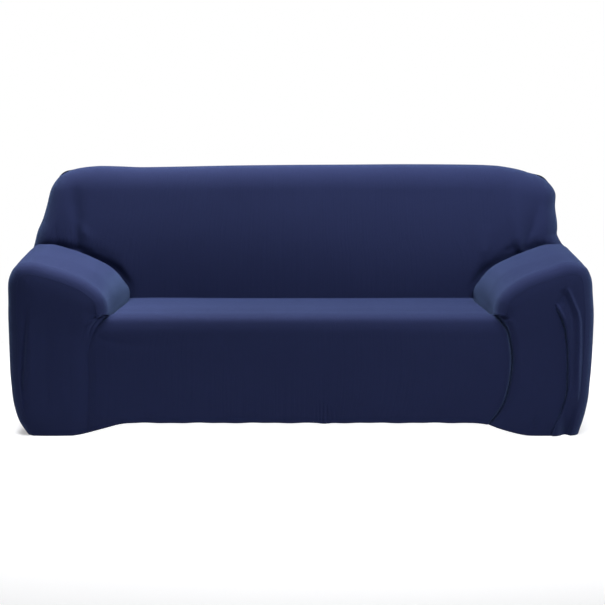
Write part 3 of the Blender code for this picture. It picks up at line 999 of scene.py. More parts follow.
@dataclass
class InsideBack(Panel):
    """Front of the back, over its top and round both ends to the rear seam."""

    end_round: float = 0.066
    top_round: float = 0.100
    round_depth: float = 0.062
    round_share: float = 0.62
    crown: float = 0.012
    arch_margin: float = 0.055
    recess: float = 0.015
    recess_height: float = 0.024
    recess_starts: float = 0.600
    recess_run: float = 0.060
    arch_ahead: float = 0.040
    web_clearance: float = 0.0012
    slack: Slack = Slack(layer=1.0)
    spans: tuple[tuple[float, float, int], ...] = (
        (-0.934, -0.660, 62),
        (-0.660, 0.640, 104),
        (0.640, 0.934, 64),
    )
    face_cells: int = 78
    round_cells: int = 14
    run_cells: int = 9

    # Lower edge of the panel at each reach, just under the arch of each arm.
    foot: SmoothTable = field(
        default_factory=lambda: SmoothTable(
            ((0.0, 0.375), (0.600, 0.375), (0.640, 0.410), (0.665, 0.460), (0.710, 0.510),
             (0.770, 0.542), (0.850, 0.576), (0.934, 0.596))
        )
    )

    folds: tuple[Fold, ...] = (
        Fold("left valley", (
            (-0.872, 0.880, 0.000, 0.034), (-0.868, 0.812, -0.005, 0.030),
            (-0.864, 0.763, -0.008, 0.026), (-0.859, 0.707, -0.009, 0.022),
            (-0.855, 0.661, -0.010, 0.017), (-0.853, 0.600, -0.010, 0.015),
        )),
        Fold("left bulge", (
            (-0.850, 0.690, 0.002, 0.016), (-0.834, 0.660, 0.004, 0.020),
            (-0.810, 0.635, 0.002, 0.024), (-0.780, 0.612, 0.000, 0.026),
        )),
        Fold("left hollow over the arm", (
            (-0.800, 0.600, 0.000, 0.020), (-0.760, 0.580, -0.002, 0.020),
            (-0.715, 0.556, -0.001, 0.022), (-0.690, 0.530, 0.000, 0.020),
        )),
        Fold("left fine crease 1", (
            (-0.890, 0.700, 0.0, 0.004), (-0.885, 0.660, -0.0022, 0.004),
            (-0.880, 0.600, -0.0026, 0.004),
        ), FoldShape.PINCHED),
        Fold("left fine crease 2", (
            (-0.874, 0.700, 0.0, 0.004), (-0.872, 0.660, -0.0020, 0.004),
            (-0.868, 0.600, -0.0024, 0.004),
        ), FoldShape.PINCHED),
        Fold("left end crease", (
            (-0.941, 0.700, 0.0, 0.005), (-0.938, 0.661, -0.0020, 0.005),
            (-0.934, 0.605, -0.0020, 0.005),
        ), FoldShape.PINCHED),
        Fold("right ridge", (
            (0.832, 0.600, 0.008, 0.014), (0.829, 0.640, 0.011, 0.020),
            (0.827, 0.707, 0.009, 0.026), (0.832, 0.782, 0.005, 0.034),
            (0.842, 0.870, 0.000, 0.040),
        )),
        Fold("right dimple", (
            (0.750, 0.560, -0.002, 0.018), (0.786, 0.590, -0.004, 0.016),
            (0.812, 0.606, -0.003, 0.012), (0.824, 0.618, 0.0, 0.012),
        )),
        Fold("right trough", (
            (0.858, 0.600, -0.003, 0.012), (0.866, 0.630, -0.006, 0.014),
            (0.878, 0.668, -0.008, 0.017), (0.898, 0.725, -0.006, 0.020),
            (0.918, 0.793, -0.002, 0.024), (0.926, 0.840, 0.000, 0.024),
        )),
        Fold("right rise", (
            (0.692, 0.560, 0.002, 0.018), (0.700, 0.590, 0.005, 0.020),
            (0.708, 0.625, 0.003, 0.026), (0.712, 0.690, 0.000, 0.034),
        )),
        Fold("right end crease", (
            (0.953, 0.600, -0.003, 0.007), (0.960, 0.669, -0.003, 0.007),
            (0.962, 0.725, -0.001, 0.009), (0.958, 0.780, 0.000, 0.010),
        )),
    )

    def __post_init__(self) -> None:
        """Lay out the columns and rows."""
        arcs = [self.round_share * (k + 1) / self.round_cells for k in range(self.round_cells)]
        rest = 1.0 - self.round_share
        runs = [self.round_share + rest * (k + 1) / self.run_cells for k in range(self.run_cells)]
        rounds = arcs + runs
        limit = self.form.half_width - self.end_round
        self.across = columns_across(limit, rounds, spans_to_stations(self.spans))
        self.up = [(j / self.face_cells, 0.0) for j in range(self.face_cells + 1)]
        self.up += [(1.0, share) for share in rounds]
        self.brow = self.form.top - self.top_round

    def size(self) -> tuple[int, int]:
        """Return the numbers of cells across and up."""
        return len(self.across) - 1, len(self.up) - 1

    def lift(self, x: float, z: float, reach: float) -> float:
        """Find how far the cloth stands in front of the leaning face.

        Args:
            x: Place across.
            z: Height.
            reach: Place across on the plain box, counted outwards.

        Returns:
            The lift.
        """
        arch = self.foot.at(min(reach + self.arch_ahead, self.form.half_width))
        above = ease((z - arch - self.arch_margin / 2.0) / self.arch_margin)
        share = (z - self.form.face_foot_height) / (self.brow - self.form.face_foot_height)
        full = self.crown * math.sin(math.pi * min(max(share, 0.0), 1.0))
        rise = full + self.slack.at(x, z) * above
        sunk = math.exp(-((max(z - arch, 0.0) / self.recess_height) ** 2))
        rise -= self.recess * sunk * ease((reach - self.recess_starts) / self.recess_run)
        return rise + fold_lift(self.folds, x, z)

    def face_at(self, side: Side, x: float, z: float, gap: float) -> float:
        """Find where the face of the back lies behind an arm.

        Args:
            side: Which end of the back.
            x: Place across, counted outwards.
            z: Height.
            gap: Clearance kept in front of the face.

        Returns:
            The depth, a gap in front of the face or of the round at its end.
        """
        limit = self.form.half_width - self.end_round
        over = x * self.form.half_width / self.form.outline(side, z) - limit
        over = min(max(over, 0.0), self.end_round)
        turn = math.asin(over / self.end_round) * 2.0 / math.pi * self.round_share
        calm = 1.0 - ease(turn * 2.0)
        straight = math.sqrt(1.0 - (over / (self.end_round + gap)) ** 2)
        depth = self.form.face_depth(z) - gap + (self.round_depth + gap) * (1.0 - straight)
        return depth - self.lift(side.value * x, z, min(x, limit)) * calm

    def place(self, i: int, j: int) -> Vector:
        """Return where a corner of the grid goes.

        Args:
            i: Column of the corner.
            j: Row of the corner.

        Returns:
            Its place.
        """
        side, reach, across = self.across[i]
        share, up = self.up[j]
        form = self.form
        turn = max(across, up)
        arc = min(turn / self.round_share, 1.0) * math.pi / 2.0
        late = max(turn - self.round_share, 0.0) / (1.0 - self.round_share)
        foot = self.foot.at(reach)
        if across > 0.0:
            far = form.face_depth(form.web_high) + self.round_depth
            foot = form.web_high + self.web_clearance
            if across > self.round_share:
                part = (across - self.round_share) / (1.0 - self.round_share)
                at = blend(far, form.rear_seam_depth, part)
                foot = min(foot, form.web_height(at, form.seam_gap))
        height = blend(foot, self.brow, share)
        ways = corner_ways(across, up, form.corner_square)
        out = self.end_round * math.sin(arc) * ways[0]
        rise = self.top_round * math.sin(arc) * ways[1]
        depth = form.face_depth(height + rise) + self.round_depth * (1.0 - math.cos(arc))
        depth = blend(depth, form.rear_seam_depth - form.seam_gap / 2.0, late)
        wide, high = form.warp(side, reach + out, height + rise)
        facing = (1.0 - ease(across * 2.0)) * (1.0 - ease(up * 2.0))
        if facing > 0.0:
            depth -= self.lift(side.value * wide, high, reach) * facing
        return form.place(side.value * wide, depth, high)


@dataclass
class OutsideBack(Panel):
    """Plain rear panel, rounded forward to its seams and open at the floor."""

    seam_turn: float = 1.25
    seam_edge: float = 0.006
    calm_run: float = 0.15
    slack: Slack = Slack(size=0.0035, layer=2.0)
    flat_cells: int = 120
    side_cells: int = 46
    upper_cells: int = 26
    round_cells: int = 9

    folds: tuple[Fold, ...] = (
        Fold("left drag line", (
            (-0.930, 0.760, 0.000, 0.030), (-0.880, 0.640, 0.005, 0.034),
            (-0.850, 0.480, 0.004, 0.040), (-0.840, 0.300, 0.000, 0.040),
        )),
        Fold("right drag line", (
            (0.930, 0.740, 0.000, 0.030), (0.890, 0.620, 0.005, 0.030),
            (0.870, 0.450, 0.003, 0.040), (0.860, 0.280, 0.000, 0.040),
        )),
    )

    def __post_init__(self) -> None:
        """Lay out the columns and rows."""
        self.round_size = self.form.rear_depth - self.form.rear_seam_depth - self.seam_edge
        limit = self.form.half_width - self.round_size
        rounds = [(k + 1) / self.round_cells for k in range(self.round_cells)]
        rounds.append(self.seam_turn)
        flats = spans_to_stations(((-limit, limit, self.flat_cells),))
        self.across = columns_across(limit, rounds, flats)
        brow = self.form.top - self.round_size
        levels = spans_to_stations(
            ((0.0, self.form.web_low, self.side_cells), (self.form.web_low, brow, self.upper_cells))
        )
        self.up = [(z, 0.0) for z in levels] + [(brow, share) for share in rounds]

    def size(self) -> tuple[int, int]:
        """Return the numbers of cells across and up."""
        return len(self.across) - 1, len(self.up) - 1

    def place(self, i: int, j: int) -> Vector:
        """Return where a corner of the grid goes.

        Args:
            i: Column of the corner.
            j: Row of the corner.

        Returns:
            Its place.
        """
        side, reach, across = self.across[i]
        height, up = self.up[j]
        form = self.form
        turn = max(across, up)
        arc = min(turn, 1.0) * math.pi / 2.0
        ways = corner_ways(across, up, form.corner_square)
        outward = self.round_size * math.sin(arc)
        depth = form.rear_depth - self.round_size * (1.0 - math.cos(arc))
        if turn > 1.0:
            depth = form.rear_seam_depth + form.seam_gap / 2.0
        wide, high = form.warp(side, reach + outward * ways[0], height + outward * ways[1])
        x = side.value * wide
        calm = ease((form.half_width - self.round_size - reach) / self.calm_run)
        calm *= ease(height / self.calm_run - 1.0)
        calm *= 1.0 - min(turn, 1.0)
        depth += (self.slack.at(x, high) - fold_lift(self.folds, x, high)) * calm
        return form.place(x, depth, max(high, form.hem_lift))


@dataclass
class ArmCover(Panel):
    """Outer side, crown, slope and inner side of one arm."""

    side: Side = Side.LEFT
    back: InsideBack | None = None
    pitch: float = 0.0075
    round_cells: int = 8
    corner_depth: float = 0.048
    first_depth: float = 0.078
    corner_drop: float = 0.24
    front_drop: float = 0.06
    butt_gap: float = 0.0010
    face_passes: int = 4
    end_calm: float = 6.0
    shoulder_starts: float = 3.5
    shoulder_ends: float = 2.5
    spans: tuple[tuple[float, float, int], ...] = (
        (0.0, 0.25, 22),
        (0.25, 0.90, 36),
        (0.90, 0.97, 8),
        (0.97, 1.0, 10),
    )
    tuck: SmoothTable = field(
        default_factory=lambda: SmoothTable(
            ((7.0, 0.0), (8.0, 0.0008), (9.0, 0.0120), (10.0, 0.0200), (11.0, 0.0240),
             (12.0, 0.0240), (13.0, 0.0110), (14.0, 0.0))
        )
    )
    tuck_width: float = 0.040
    shoulder: SmoothTable = field(
        default_factory=lambda: SmoothTable(
            ((7.0, 0.0), (9.0, 0.0080), (10.0, 0.0110), (11.0, 0.0170), (12.0, 0.0200),
             (13.0, 0.0100), (14.0, 0.0))
        )
    )

    def __post_init__(self) -> None:
        """Lay out the lines of the section and the rows along the arm."""
        self.slack = Slack(layer=3.0 + self.side.value)
        self.lines = self.form.arm.stations(self.pitch)
        self.shares = spans_to_stations(self.spans)
        self.ends = {line: self.end_depth(line) for line in self.lines}

    def size(self) -> tuple[int, int]:
        """Return the numbers of cells across and up."""
        return len(self.lines) - 1, self.round_cells + len(self.shares) - 1

    def end_depth(self, line: float) -> float:
        """Find where a line of the arm ends: at the rear seam, or on the back.

        Args:
            line: Position on the arm's section.

        Returns:
            The depth.
        """
        form = self.form
        seam = form.rear_seam_depth - form.seam_gap / 2.0
        if line <= form.arm_shoulder:
            return seam
        if line < form.arm_edge:
            return blend(seam, self.end_depth(form.arm_edge), line - form.arm_shoulder)
        depth = form.face_depth(form.web_high)
        for _ in range(self.face_passes):
            x, z = form.arm_point(line, depth)
            depth = self.back.face_at(self.side, x, z, form.cloth + self.butt_gap)
        return depth

    def raise_flap(self, point: Vector, brim: float, line: float) -> Vector:
        """Lift the tuck flap clear of the seat's front edge, towards its brim above.

        Args:
            point: A point of the cover.
            brim: Height of the brim over it.
            line: The point's position on the arm's section.

        Returns:
            The point, raised where it is part of the flap.
        """
        if line > self.form.arm_inner_row:
            depth = point.y - self.form.front_y
            share = (depth - self.corner_depth) / (self.first_depth - self.corner_depth)
            least = blend(self.front_drop, self.corner_drop, min(depth / self.corner_depth, 1.0))
            point.z = blend(brim, point.z, max(ease(share), least))
        return point

    def place(self, i: int, j: int) -> Vector:
        """Return where a corner of the grid goes.

        Args:
            i: Column of the corner.
            j: Row of the corner.

        Returns:
            Its place.
        """
        form = self.form
        line = self.lines[i]
        if j <= self.round_cells:
            end = form.front_seam_turn - form.seam_gap / form.front_round
            turn = end * (1.0 - j / self.round_cells)
            brim = form.arm_brow(self.side, form.arm_inner_row, turn).z
            return self.raise_flap(form.arm_brow(self.side, line, turn), brim, line)
        share = self.shares[j - self.round_cells]
        depth = blend(form.front_round, self.ends[line], share)
        x, z = form.arm_point(line, depth)
        calm = ease(share * self.end_calm) * ease((1.0 - share) * self.end_calm)
        calm *= ease(line) * ease(form.arm_inner_row - line)
        lift = self.slack.at(depth, z - x) * calm
        if line > form.arm_shoulder:
            left = (self.ends[line] - depth) / self.tuck_width
            swell = ease(share * self.shoulder_starts) * ease((1.0 - share) * self.shoulder_ends)
            lift += self.shoulder.at(line) * swell
            lift -= self.tuck.at(line) * math.exp(-(left**2))
        in_x, in_z = form.arm_inward(line)
        high = max(z - in_z * lift, form.hem_lift)
        point = form.place(self.side.value * (x - in_x * lift), depth, high)
        return self.raise_flap(point, form.arm_point(form.arm_inner_row, depth)[1], line)


@dataclass
class SeatAndApron(Panel):
    """Seat from its rear tuck over the front edge, and the apron down to the hem."""

    side_round: float = 0.022
    flap: float = 0.016
    flap_turn: float = 1.3
    pitch: float = 0.0065
    round_cells: int = 10
    edge_calm: float = 0.12
    seat_slack: Slack = Slack(size=0.0016, pitch=3.0, layer=7.0)
    apron_slack: Slack = Slack(size=0.0014, pitch=3.0, layer=6.0)
    spans: tuple[tuple[float, float, int], ...] = (
        (-1.0, -0.75, 32),
        (-0.75, 0.04, 66),
        (0.04, 0.20, 42),
        (0.20, 0.75, 46),
        (0.75, 1.0, 32),
    )

    # Depth of the groove that the sewn edge makes beside each arm front, by height.
    grooves: dict[Side, SmoothTable] = field(
        default_factory=lambda: {
            Side.LEFT: SmoothTable(
                ((0.0, 0.0), (0.280, 0.0), (0.340, 0.0016), (0.375, 0.0040), (0.430, 0.0060))
            ),
            Side.RIGHT: SmoothTable(
                ((0.0, 0.0080), (0.060, 0.0125), (0.180, 0.0175), (0.300, 0.0165),
                 (0.430, 0.0140))
            ),
        }
    )
    groove_width: float = 0.0060

    folds: tuple[Fold, ...] = (
        Fold("cushion edge", (
            (-0.742, 0.380, 0.0000, 0.010), (-0.720, 0.356, -0.0014, 0.010),
            (-0.690, 0.341, -0.0016, 0.010), (-0.620, 0.326, -0.0014, 0.012),
            (-0.500, 0.322, -0.0008, 0.014), (-0.380, 0.324, 0.0000, 0.014),
        )),
        Fold("left pucker", (
            (-0.395, 0.050, -0.0006, 0.006), (-0.392, 0.110, -0.0008, 0.006),
            (-0.390, 0.180, 0.0, 0.006),
        )),
    )

    # Puckers of the middle hem: each one's three places across, heights and depths, and width.
    puckers: tuple[tuple, ...] = (
        ((0.049, 0.050, 0.052), (0.050, 0.085, 0.110), (-0.0010, -0.0014, 0.0), 0.0032),
        ((0.063, 0.063, 0.062), (0.050, 0.092, 0.122), (-0.0012, -0.0018, 0.0), 0.0030),
        ((0.074, 0.075, 0.076), (0.046, 0.088, 0.126), (-0.0016, -0.0022, 0.0), 0.0032),
        ((0.090, 0.089, 0.088), (0.046, 0.080, 0.112), (-0.0016, -0.0020, 0.0), 0.0034),
        ((0.106, 0.104, 0.102), (0.050, 0.080, 0.102), (-0.0010, -0.0012, 0.0), 0.0034),
        ((0.121, 0.119, 0.118), (0.050, 0.076, 0.096), (-0.0008, -0.0010, 0.0), 0.0036),
    )

    def __post_init__(self) -> None:
        """Lay out the columns and the lines of the run."""
        turns = [(k + 1) / self.round_cells for k in range(self.round_cells)]
        turns += [blend(1.0, self.flap_turn, 0.5), self.flap_turn]
        self.across = columns_across(1.0, turns, spans_to_stations(self.spans))
        self.lines = self.form.seat.stations(self.pitch)
        gathers = [
            Fold(f"middle pucker {k + 1}", tuple((*spot, width) for spot in zip(*rows)))
            for k, (*rows, width) in enumerate(self.puckers)
        ]
        self.creases = (*self.folds, *gathers)

    def size(self) -> tuple[int, int]:
        """Return the numbers of cells across and up."""
        return len(self.across) - 1, len(self.lines) - 1

    def place(self, i: int, j: int) -> Vector:
        """Return where a corner of the grid goes.

        Args:
            i: Column of the corner.
            j: Row of the corner.

        Returns:
            Its place.
        """
        form = self.form
        side, share, turn = self.across[i]
        line = self.lines[j]
        bend = min(max(form.seat.at("bend", line), 0.0), 1.0)
        edge = form.seat_edge(side, line)
        flat = (edge - self.side_round) * share
        arc = min(turn, 1.0) * math.pi / 2.0
        drop = self.side_round * (1.0 - math.cos(arc))
        drop += self.flap * max(turn - 1.0, 0.0) / (self.flap_turn - 1.0)
        level = self.side_round * turn / self.flap_turn
        wide = flat + blend(level, self.side_round * math.sin(arc), bend)
        x = side.value * wide
        depth = form.seat.at("depth", line)
        height = form.apron_height(x, line) - drop * bend
        calm = ease((1.0 - share) / self.edge_calm)
        if line > form.seat_lip:
            on = ease(line - form.seat_lip)
            depth -= self.apron_slack.at(x, height) * calm * on
            depth -= fold_lift(self.creases, x, height) * on
            off = (edge - wide) / self.groove_width
            depth += self.grooves[side].at(height) * math.exp(-(off**2)) * on
        else:
            along = math.sin(math.pi * line / form.seat_lip)
            height += self.seat_slack.at(x, depth) * calm * along
        return form.place(x, depth, height)


@dataclass
class ArmFront(Panel):
    """Front of one arm, stretched between the arch, the apron's seam and the hem."""

    side: Side = Side.LEFT
    folds: tuple[Fold, ...] = ()
    groove: SmoothTable | None = None
    groove_width: float = 0.0050
    bulge: float = 0.009
    tuck_under: float = 0.0
    tuck_height: float = 0.139
    seam_ease: float = 0.035
    arch_lap: float = 0.0025
    arch_under: float = 0.0012
    lap_fades: float = 5.0
    lap_fade_run: float = 1.0
    seam_lap: float = 0.0025
    seam_under: float = 0.0030
    shelf: SmoothTable = field(
        default_factory=lambda: SmoothTable(
            ((0.0, 0.0200), (0.290, 0.0160), (0.340, 0.0105), (0.390, 0.0050), (0.430, 0.0018),
             (0.500, 0.0016))
        )
    )
    dip_width: float = 0.013
    dip_pitch: float = 0.002
    slack_ease: float = 0.05
    fold_ease: float = 0.010
    tuck_starts: float = 0.895
    tuck_run: float = 0.040
    tuck_ease: float = 0.02
    arch_cells: int = 80
    seam_reach: float = 0.40
    seam_stops: float = 0.5
    under_points: int = 12
    under_turn: float = 0.3
    spans: tuple[tuple[float, float, int], ...] = (
        (0.0, 0.16, 26),
        (0.16, 0.55, 38),
        (0.55, 1.0, 90),
    )
    rows: int = 200
    rounds: int = 60
    pitch: float = 0.002

    def __post_init__(self) -> None:
        """Lay out the four edges of the panel."""
        form = self.form
        self.slack = Slack(layer=9.0 + self.side.value)
        turn = form.front_seam_turn + form.seam_gap / form.front_round
        outer = self.arch(0.0, form.arm_outer_corner, turn)
        over = self.arch(form.arm_inner_corner, form.arm_outer_corner, turn)
        tail = self.arch(form.arm_inner_row, form.arm_inner_corner, turn)
        count = round(self.seam_reach / self.pitch)
        span = form.seat_hem - form.seat_lip - self.seam_stops
        seam = []
        for k in range(count + 1):
            line = form.seat_hem - span * k / count
            seam.append(form.apron_seam(self.side, line, -self.seam_lap))
            seam[-1].y += self.seam_under
        under = self.underside(seam[-1].z, tail[0].z, turn)
        edge = seam + under + tail
        self.dips = SmoothTable(self.dip_rows(edge))
        self.shares = spans_to_stations(self.spans)
        self.outer = Line(outer)
        self.top = Line(over)
        self.seam = Line(seam + under)
        self.inner = Line([self.shelved(point) for point in edge])
        self.arch_near = Nearness(Line(tail + over[1:] + list(reversed(outer))[1:]))
        self.seam_near = Nearness(self.seam)

    def arch(self, start: float, end: float, turn: float) -> list[Vector]:
        """Find the edge that meets the arm's cover, lapped under it on the outer side.

        Args:
            start: First position on the arm's section.
            end: Last position.
            turn: How far round the front edge the seam lies.

        Returns:
            The points of the edge.
        """
        points = []
        for k in range(self.arch_cells + 1):
            line = blend(start, end, k / self.arch_cells)
            lap = 1.0 - ease((line - self.lap_fades) / self.lap_fade_run)
            back = turn - lap * self.arch_lap / self.form.front_round
            points.append(self.form.arm_brow(self.side, line, back))
            points[-1].y += lap * self.arch_under
        return points

    def underside(self, low: float, high: float, turn: float) -> list[Vector]:
        """Find the edge that follows the arch's end from the seam's top, just under it.

        Args:
            low: Height of the lower end.
            high: Height of the upper end.
            turn: How far round the front edge the seam lies.

        Returns:
            The points of the edge.
        """
        points = []
        for k in range(self.under_points):
            share = (k + 1) / (self.under_points + 1)
            bent = turn * blend(self.under_turn, 1.0, share)
            point = self.form.arm_brow(self.side, self.form.arm_inner_row, bent)
            point.z = blend(low, high, share)
            points.append(point)
        return points

    def shelved(self, point: Vector) -> Vector:
        """Return a point of the edge, no deeper than the shelf that the cloth spans from."""
        shelf = self.form.front_y + self.shelf.at(point.z)
        return Vector((point.x, min(point.y, shelf), point.z))

    def dip_rows(self, edge: Sequence[Vector]) -> list[tuple[float, float]]:
        """Find how far the edge lies behind its shelf.

        Args:
            edge: The inner edge, from the hem up.

        Returns:
            Height and depth of each row.
        """
        rows = []
        for point in edge:
            if not rows or point.z > rows[-1][0] + self.dip_pitch:
                rows.append((point.z, point.y - self.shelved(point).y))
        return rows

    def size(self) -> tuple[int, int]:
        """Return the numbers of cells across and up."""
        return len(self.shares) - 1, self.rows

    def hem_point(self, share: float) -> Vector:
        """Find a point of the hem.

        Args:
            share: Share of the way from the apron's seam to the outer corner.

        Returns:
            The point.
        """
        start, end = self.inner.at(0.0), self.outer.at(0.0)
        point = start.lerp(end, share)
        point.z = blend(self.form.hem_height(point.x), end.z, ease(share * 2.0 - 1.0))
        return point

    def place(self, i: int, j: int) -> Vector:
        """Return where a corner of the grid goes before the cloth is relaxed.

        Args:
            i: Column of the corner.
            j: Row of the corner.

        Returns:
            Its place between the four edges.
        """
        u, v = self.shares[i], j / self.rows
        inner, outer = self.inner.at(v), self.outer.at(v)
        ruled = inner.lerp(outer, u) + self.hem_point(u).lerp(self.top.at(u), v)
        low = self.inner.at(0.0).lerp(self.outer.at(0.0), u)
        high = self.inner.at(1.0).lerp(self.outer.at(1.0), u)
        return ruled - low.lerp(high, v)

    def lift(self, x: float, z: float) -> float:
        """Find how far the cloth stands in front of the plane between its edges.

        Args:
            x: Place across.
            z: Height.

        Returns:
            The lift.
        """
        form = self.form
        arch = self.arch_near.at(x, z)
        seam = self.seam_near.at(x, z)
        slope = math.cos(form.front_seam_turn) / math.sin(form.front_seam_turn)
        puff = self.bulge * (1.0 - math.exp(-arch * slope / self.bulge))
        uneven = self.slack.at(x, z) * ease(arch / self.slack_ease)
        lift = (puff + uneven) * ease(seam / self.seam_ease)
        lift += fold_lift(self.folds, x, z) * ease(arch / self.fold_ease)
        if self.tuck_under:
            over = ease((abs(x) - self.tuck_starts) / self.tuck_run)
            low = max(self.tuck_height - z, 0.0) / self.tuck_height
            lift -= self.tuck_under * low * over * ease(arch / self.tuck_ease)
        lift -= self.groove.at(z) * math.exp(-((seam / self.groove_width) ** 2))
        return lift - self.dips.at(z) * math.exp(-((seam / self.dip_width) ** 2))

    def settle(self, builder: bmesh.types.BMesh) -> None:
        """Relax the grid inside its edges, then stretch it over the arm's padding.

        Args:
            builder: The placed grid.
        """
        inside = [vertex for vertex in builder.verts if not vertex.is_boundary]
        for _ in range(self.rounds):
            bmesh.ops.smooth_vert(
                builder, verts=inside, factor=0.5, use_axis_x=True, use_axis_y=True,
                use_axis_z=True,
            )
        for vertex in builder.verts:
            vertex.co.y -= self.lift(vertex.co.x, vertex.co.z)


# Folds of the arm fronts, where the cloth is looser than elsewhere.
LEFT_FRONT_FOLDS = (
    Fold("outer crease", (
        (-0.960, 0.480, 0.000, 0.008), (-0.966, 0.400, -0.0050, 0.008),
        (-0.973, 0.324, -0.0075, 0.008), (-0.979, 0.257, -0.0085, 0.008),
        (-0.987, 0.203, -0.0085, 0.009), (-0.993, 0.150, -0.0060, 0.010),
        (-0.994, 0.125, 0.000, 0.010),
    )),
    Fold("outer roll", (
        (-0.944, 0.420, 0.000, 0.016), (-0.949, 0.360, 0.0022, 0.015),
        (-0.952, 0.275, 0.0030, 0.014), (-0.956, 0.185, 0.0022, 0.015),
        (-0.960, 0.130, 0.000, 0.016),
    )),
    Fold("hem dimple", (
        (-0.992, 0.132, -0.003, 0.011), (-0.986, 0.120, -0.006, 0.012),
        (-0.978, 0.108, -0.002, 0.014),
    )),
    Fold("middle fold", (
        (-0.892, 0.440, 0.0, 0.022), (-0.894, 0.381, -0.0014, 0.020),
        (-0.899, 0.132, -0.0022, 0.020), (-0.902, 0.060, 0.0, 0.022),
    )),
    Fold("inner fold", (
        (-0.808, 0.430, 0.0, 0.022), (-0.810, 0.381, -0.0012, 0.020),
        (-0.811, 0.132, -0.0018, 0.020), (-0.814, 0.050, 0.0, 0.022),
    )),
    Fold("upper twin crease", (
        (-0.694, 0.449, -0.0070, 0.0040), (-0.715, 0.433, -0.0065, 0.0036),
        (-0.737, 0.417, -0.0030, 0.0040), (-0.755, 0.402, 0.0, 0.0050),
    ), FoldShape.PINCHED),
    Fold("twin roll", (
        (-0.700, 0.440, 0.0030, 0.004), (-0.722, 0.421, 0.0038, 0.005),
        (-0.742, 0.402, 0.0020, 0.006), (-0.758, 0.384, 0.0, 0.008),
    )),
    Fold("lower twin crease", (
        (-0.690, 0.437, -0.0050, 0.0040), (-0.706, 0.425, -0.0060, 0.0038),
        (-0.722, 0.409, -0.0060, 0.0038), (-0.736, 0.391, -0.0050, 0.0040),
        (-0.744, 0.373, -0.0030, 0.0045), (-0.747, 0.340, 0.0, 0.0050),
    ), FoldShape.PINCHED),
)

RIGHT_FRONT_FOLDS = (
    Fold("pleat", (
        (0.890, 0.462, 0.0000, 0.0045), (0.900, 0.445, 0.0050, 0.0045),
        (0.914, 0.420, 0.0075, 0.0045), (0.927, 0.381, 0.0085, 0.0045),
        (0.936, 0.310, 0.0085, 0.0050), (0.939, 0.239, 0.0085, 0.0050),
        (0.939, 0.167, 0.0080, 0.0050), (0.933, 0.128, 0.0075, 0.0050),
        (0.918, 0.081, 0.0070, 0.0050), (0.901, 0.042, 0.0065, 0.0050),
        (0.884, 0.000, 0.0060, 0.0050),
    ), FoldShape.LAPPED, 0.060),
    Fold("pleat crease", (
        (0.886, 0.465, -0.0030, 0.0030), (0.897, 0.445, -0.0080, 0.0028),
        (0.911, 0.420, -0.0085, 0.0028), (0.924, 0.381, -0.0080, 0.0028),
        (0.933, 0.310, -0.0070, 0.0030), (0.936, 0.239, -0.0070, 0.0030),
        (0.936, 0.167, -0.0070, 0.0030), (0.930, 0.128, -0.0060, 0.0030),
        (0.915, 0.081, -0.0050, 0.0032), (0.898, 0.042, -0.0045, 0.0034),
        (0.881, 0.004, -0.0040, 0.0034),
    )),
    Fold("pleat dimple", (
        (0.905, 0.524, 0.000, 0.010), (0.911, 0.505, -0.0060, 0.010),
        (0.905, 0.482, -0.0060, 0.010), (0.894, 0.466, -0.0020, 0.008),
    )),
    Fold("pleat tip", (
        (0.895, 0.466, 0.0040, 0.0040), (0.905, 0.447, 0.0060, 0.0042),
        (0.915, 0.427, 0.0040, 0.0050), (0.924, 0.405, 0.0, 0.0050),
    )),
    Fold("outer ridge", (
        (0.926, 0.530, 0.000, 0.007), (0.933, 0.515, 0.0045, 0.006),
        (0.944, 0.491, 0.0070, 0.006), (0.955, 0.466, 0.0080, 0.006),
        (0.966, 0.441, 0.0085, 0.006), (0.972, 0.409, 0.0085, 0.0065),
        (0.974, 0.328, 0.0075, 0.0070), (0.972, 0.239, 0.0065, 0.0080),
        (0.972, 0.167, 0.0040, 0.0090), (0.970, 0.120, 0.0, 0.0110),
    )),
    Fold("strip hollow", (
        (0.914, 0.530, 0.000, 0.010), (0.924, 0.500, -0.0050, 0.010),
        (0.940, 0.460, -0.0040, 0.009), (0.952, 0.420, -0.0035, 0.009),
        (0.956, 0.340, -0.0040, 0.010), (0.956, 0.220, -0.0034, 0.010),
        (0.954, 0.140, 0.0, 0.012),
    )),
    Fold("hem wrinkle 1", (
        (0.806, 0.030, -0.0018, 0.0035), (0.820, 0.058, -0.0024, 0.0035),
        (0.834, 0.080, 0.0, 0.0040),
    )),
    Fold("hem wrinkle 2", (
        (0.822, 0.030, -0.0012, 0.0035), (0.834, 0.052, -0.0018, 0.0035),
        (0.846, 0.070, 0.0, 0.0040),
    )),
    Fold("seam pucker", (
        (0.734, 0.325, 0.000, 0.0035), (0.743, 0.290, -0.0080, 0.0032),
        (0.745, 0.262, -0.0080, 0.0032), (0.738, 0.228, 0.0, 0.0040),
    ), FoldShape.PINCHED),
    Fold("seam roll", (
        (0.748, 0.350, 0.0, 0.010), (0.757, 0.280, 0.0022, 0.010),
        (0.750, 0.200, 0.0018, 0.010), (0.728, 0.130, 0.0, 0.010),
    )),
)


@dataclass(frozen=True)
class SoftLight:
    """A soft studio light over or beside the sofa."""

    name: str
    place: Place
    target: Place
    size: tuple[float, float]
    power: float
    spread: float = math.pi

    def build(self) -> bpy.types.Object:
        """Make the light.

        Returns:
            The light.
        """
        light = bpy.data.lights.new(self.name, "AREA")
        light.shape = "RECTANGLE"
        light.size, light.size_y = self.size
        light.energy = self.power
        light.spread = self.spread
        lamp = add_object(self.name, light)
        aim(lamp, self.place, self.target)
        lamp.visible_camera = False
        return lamp


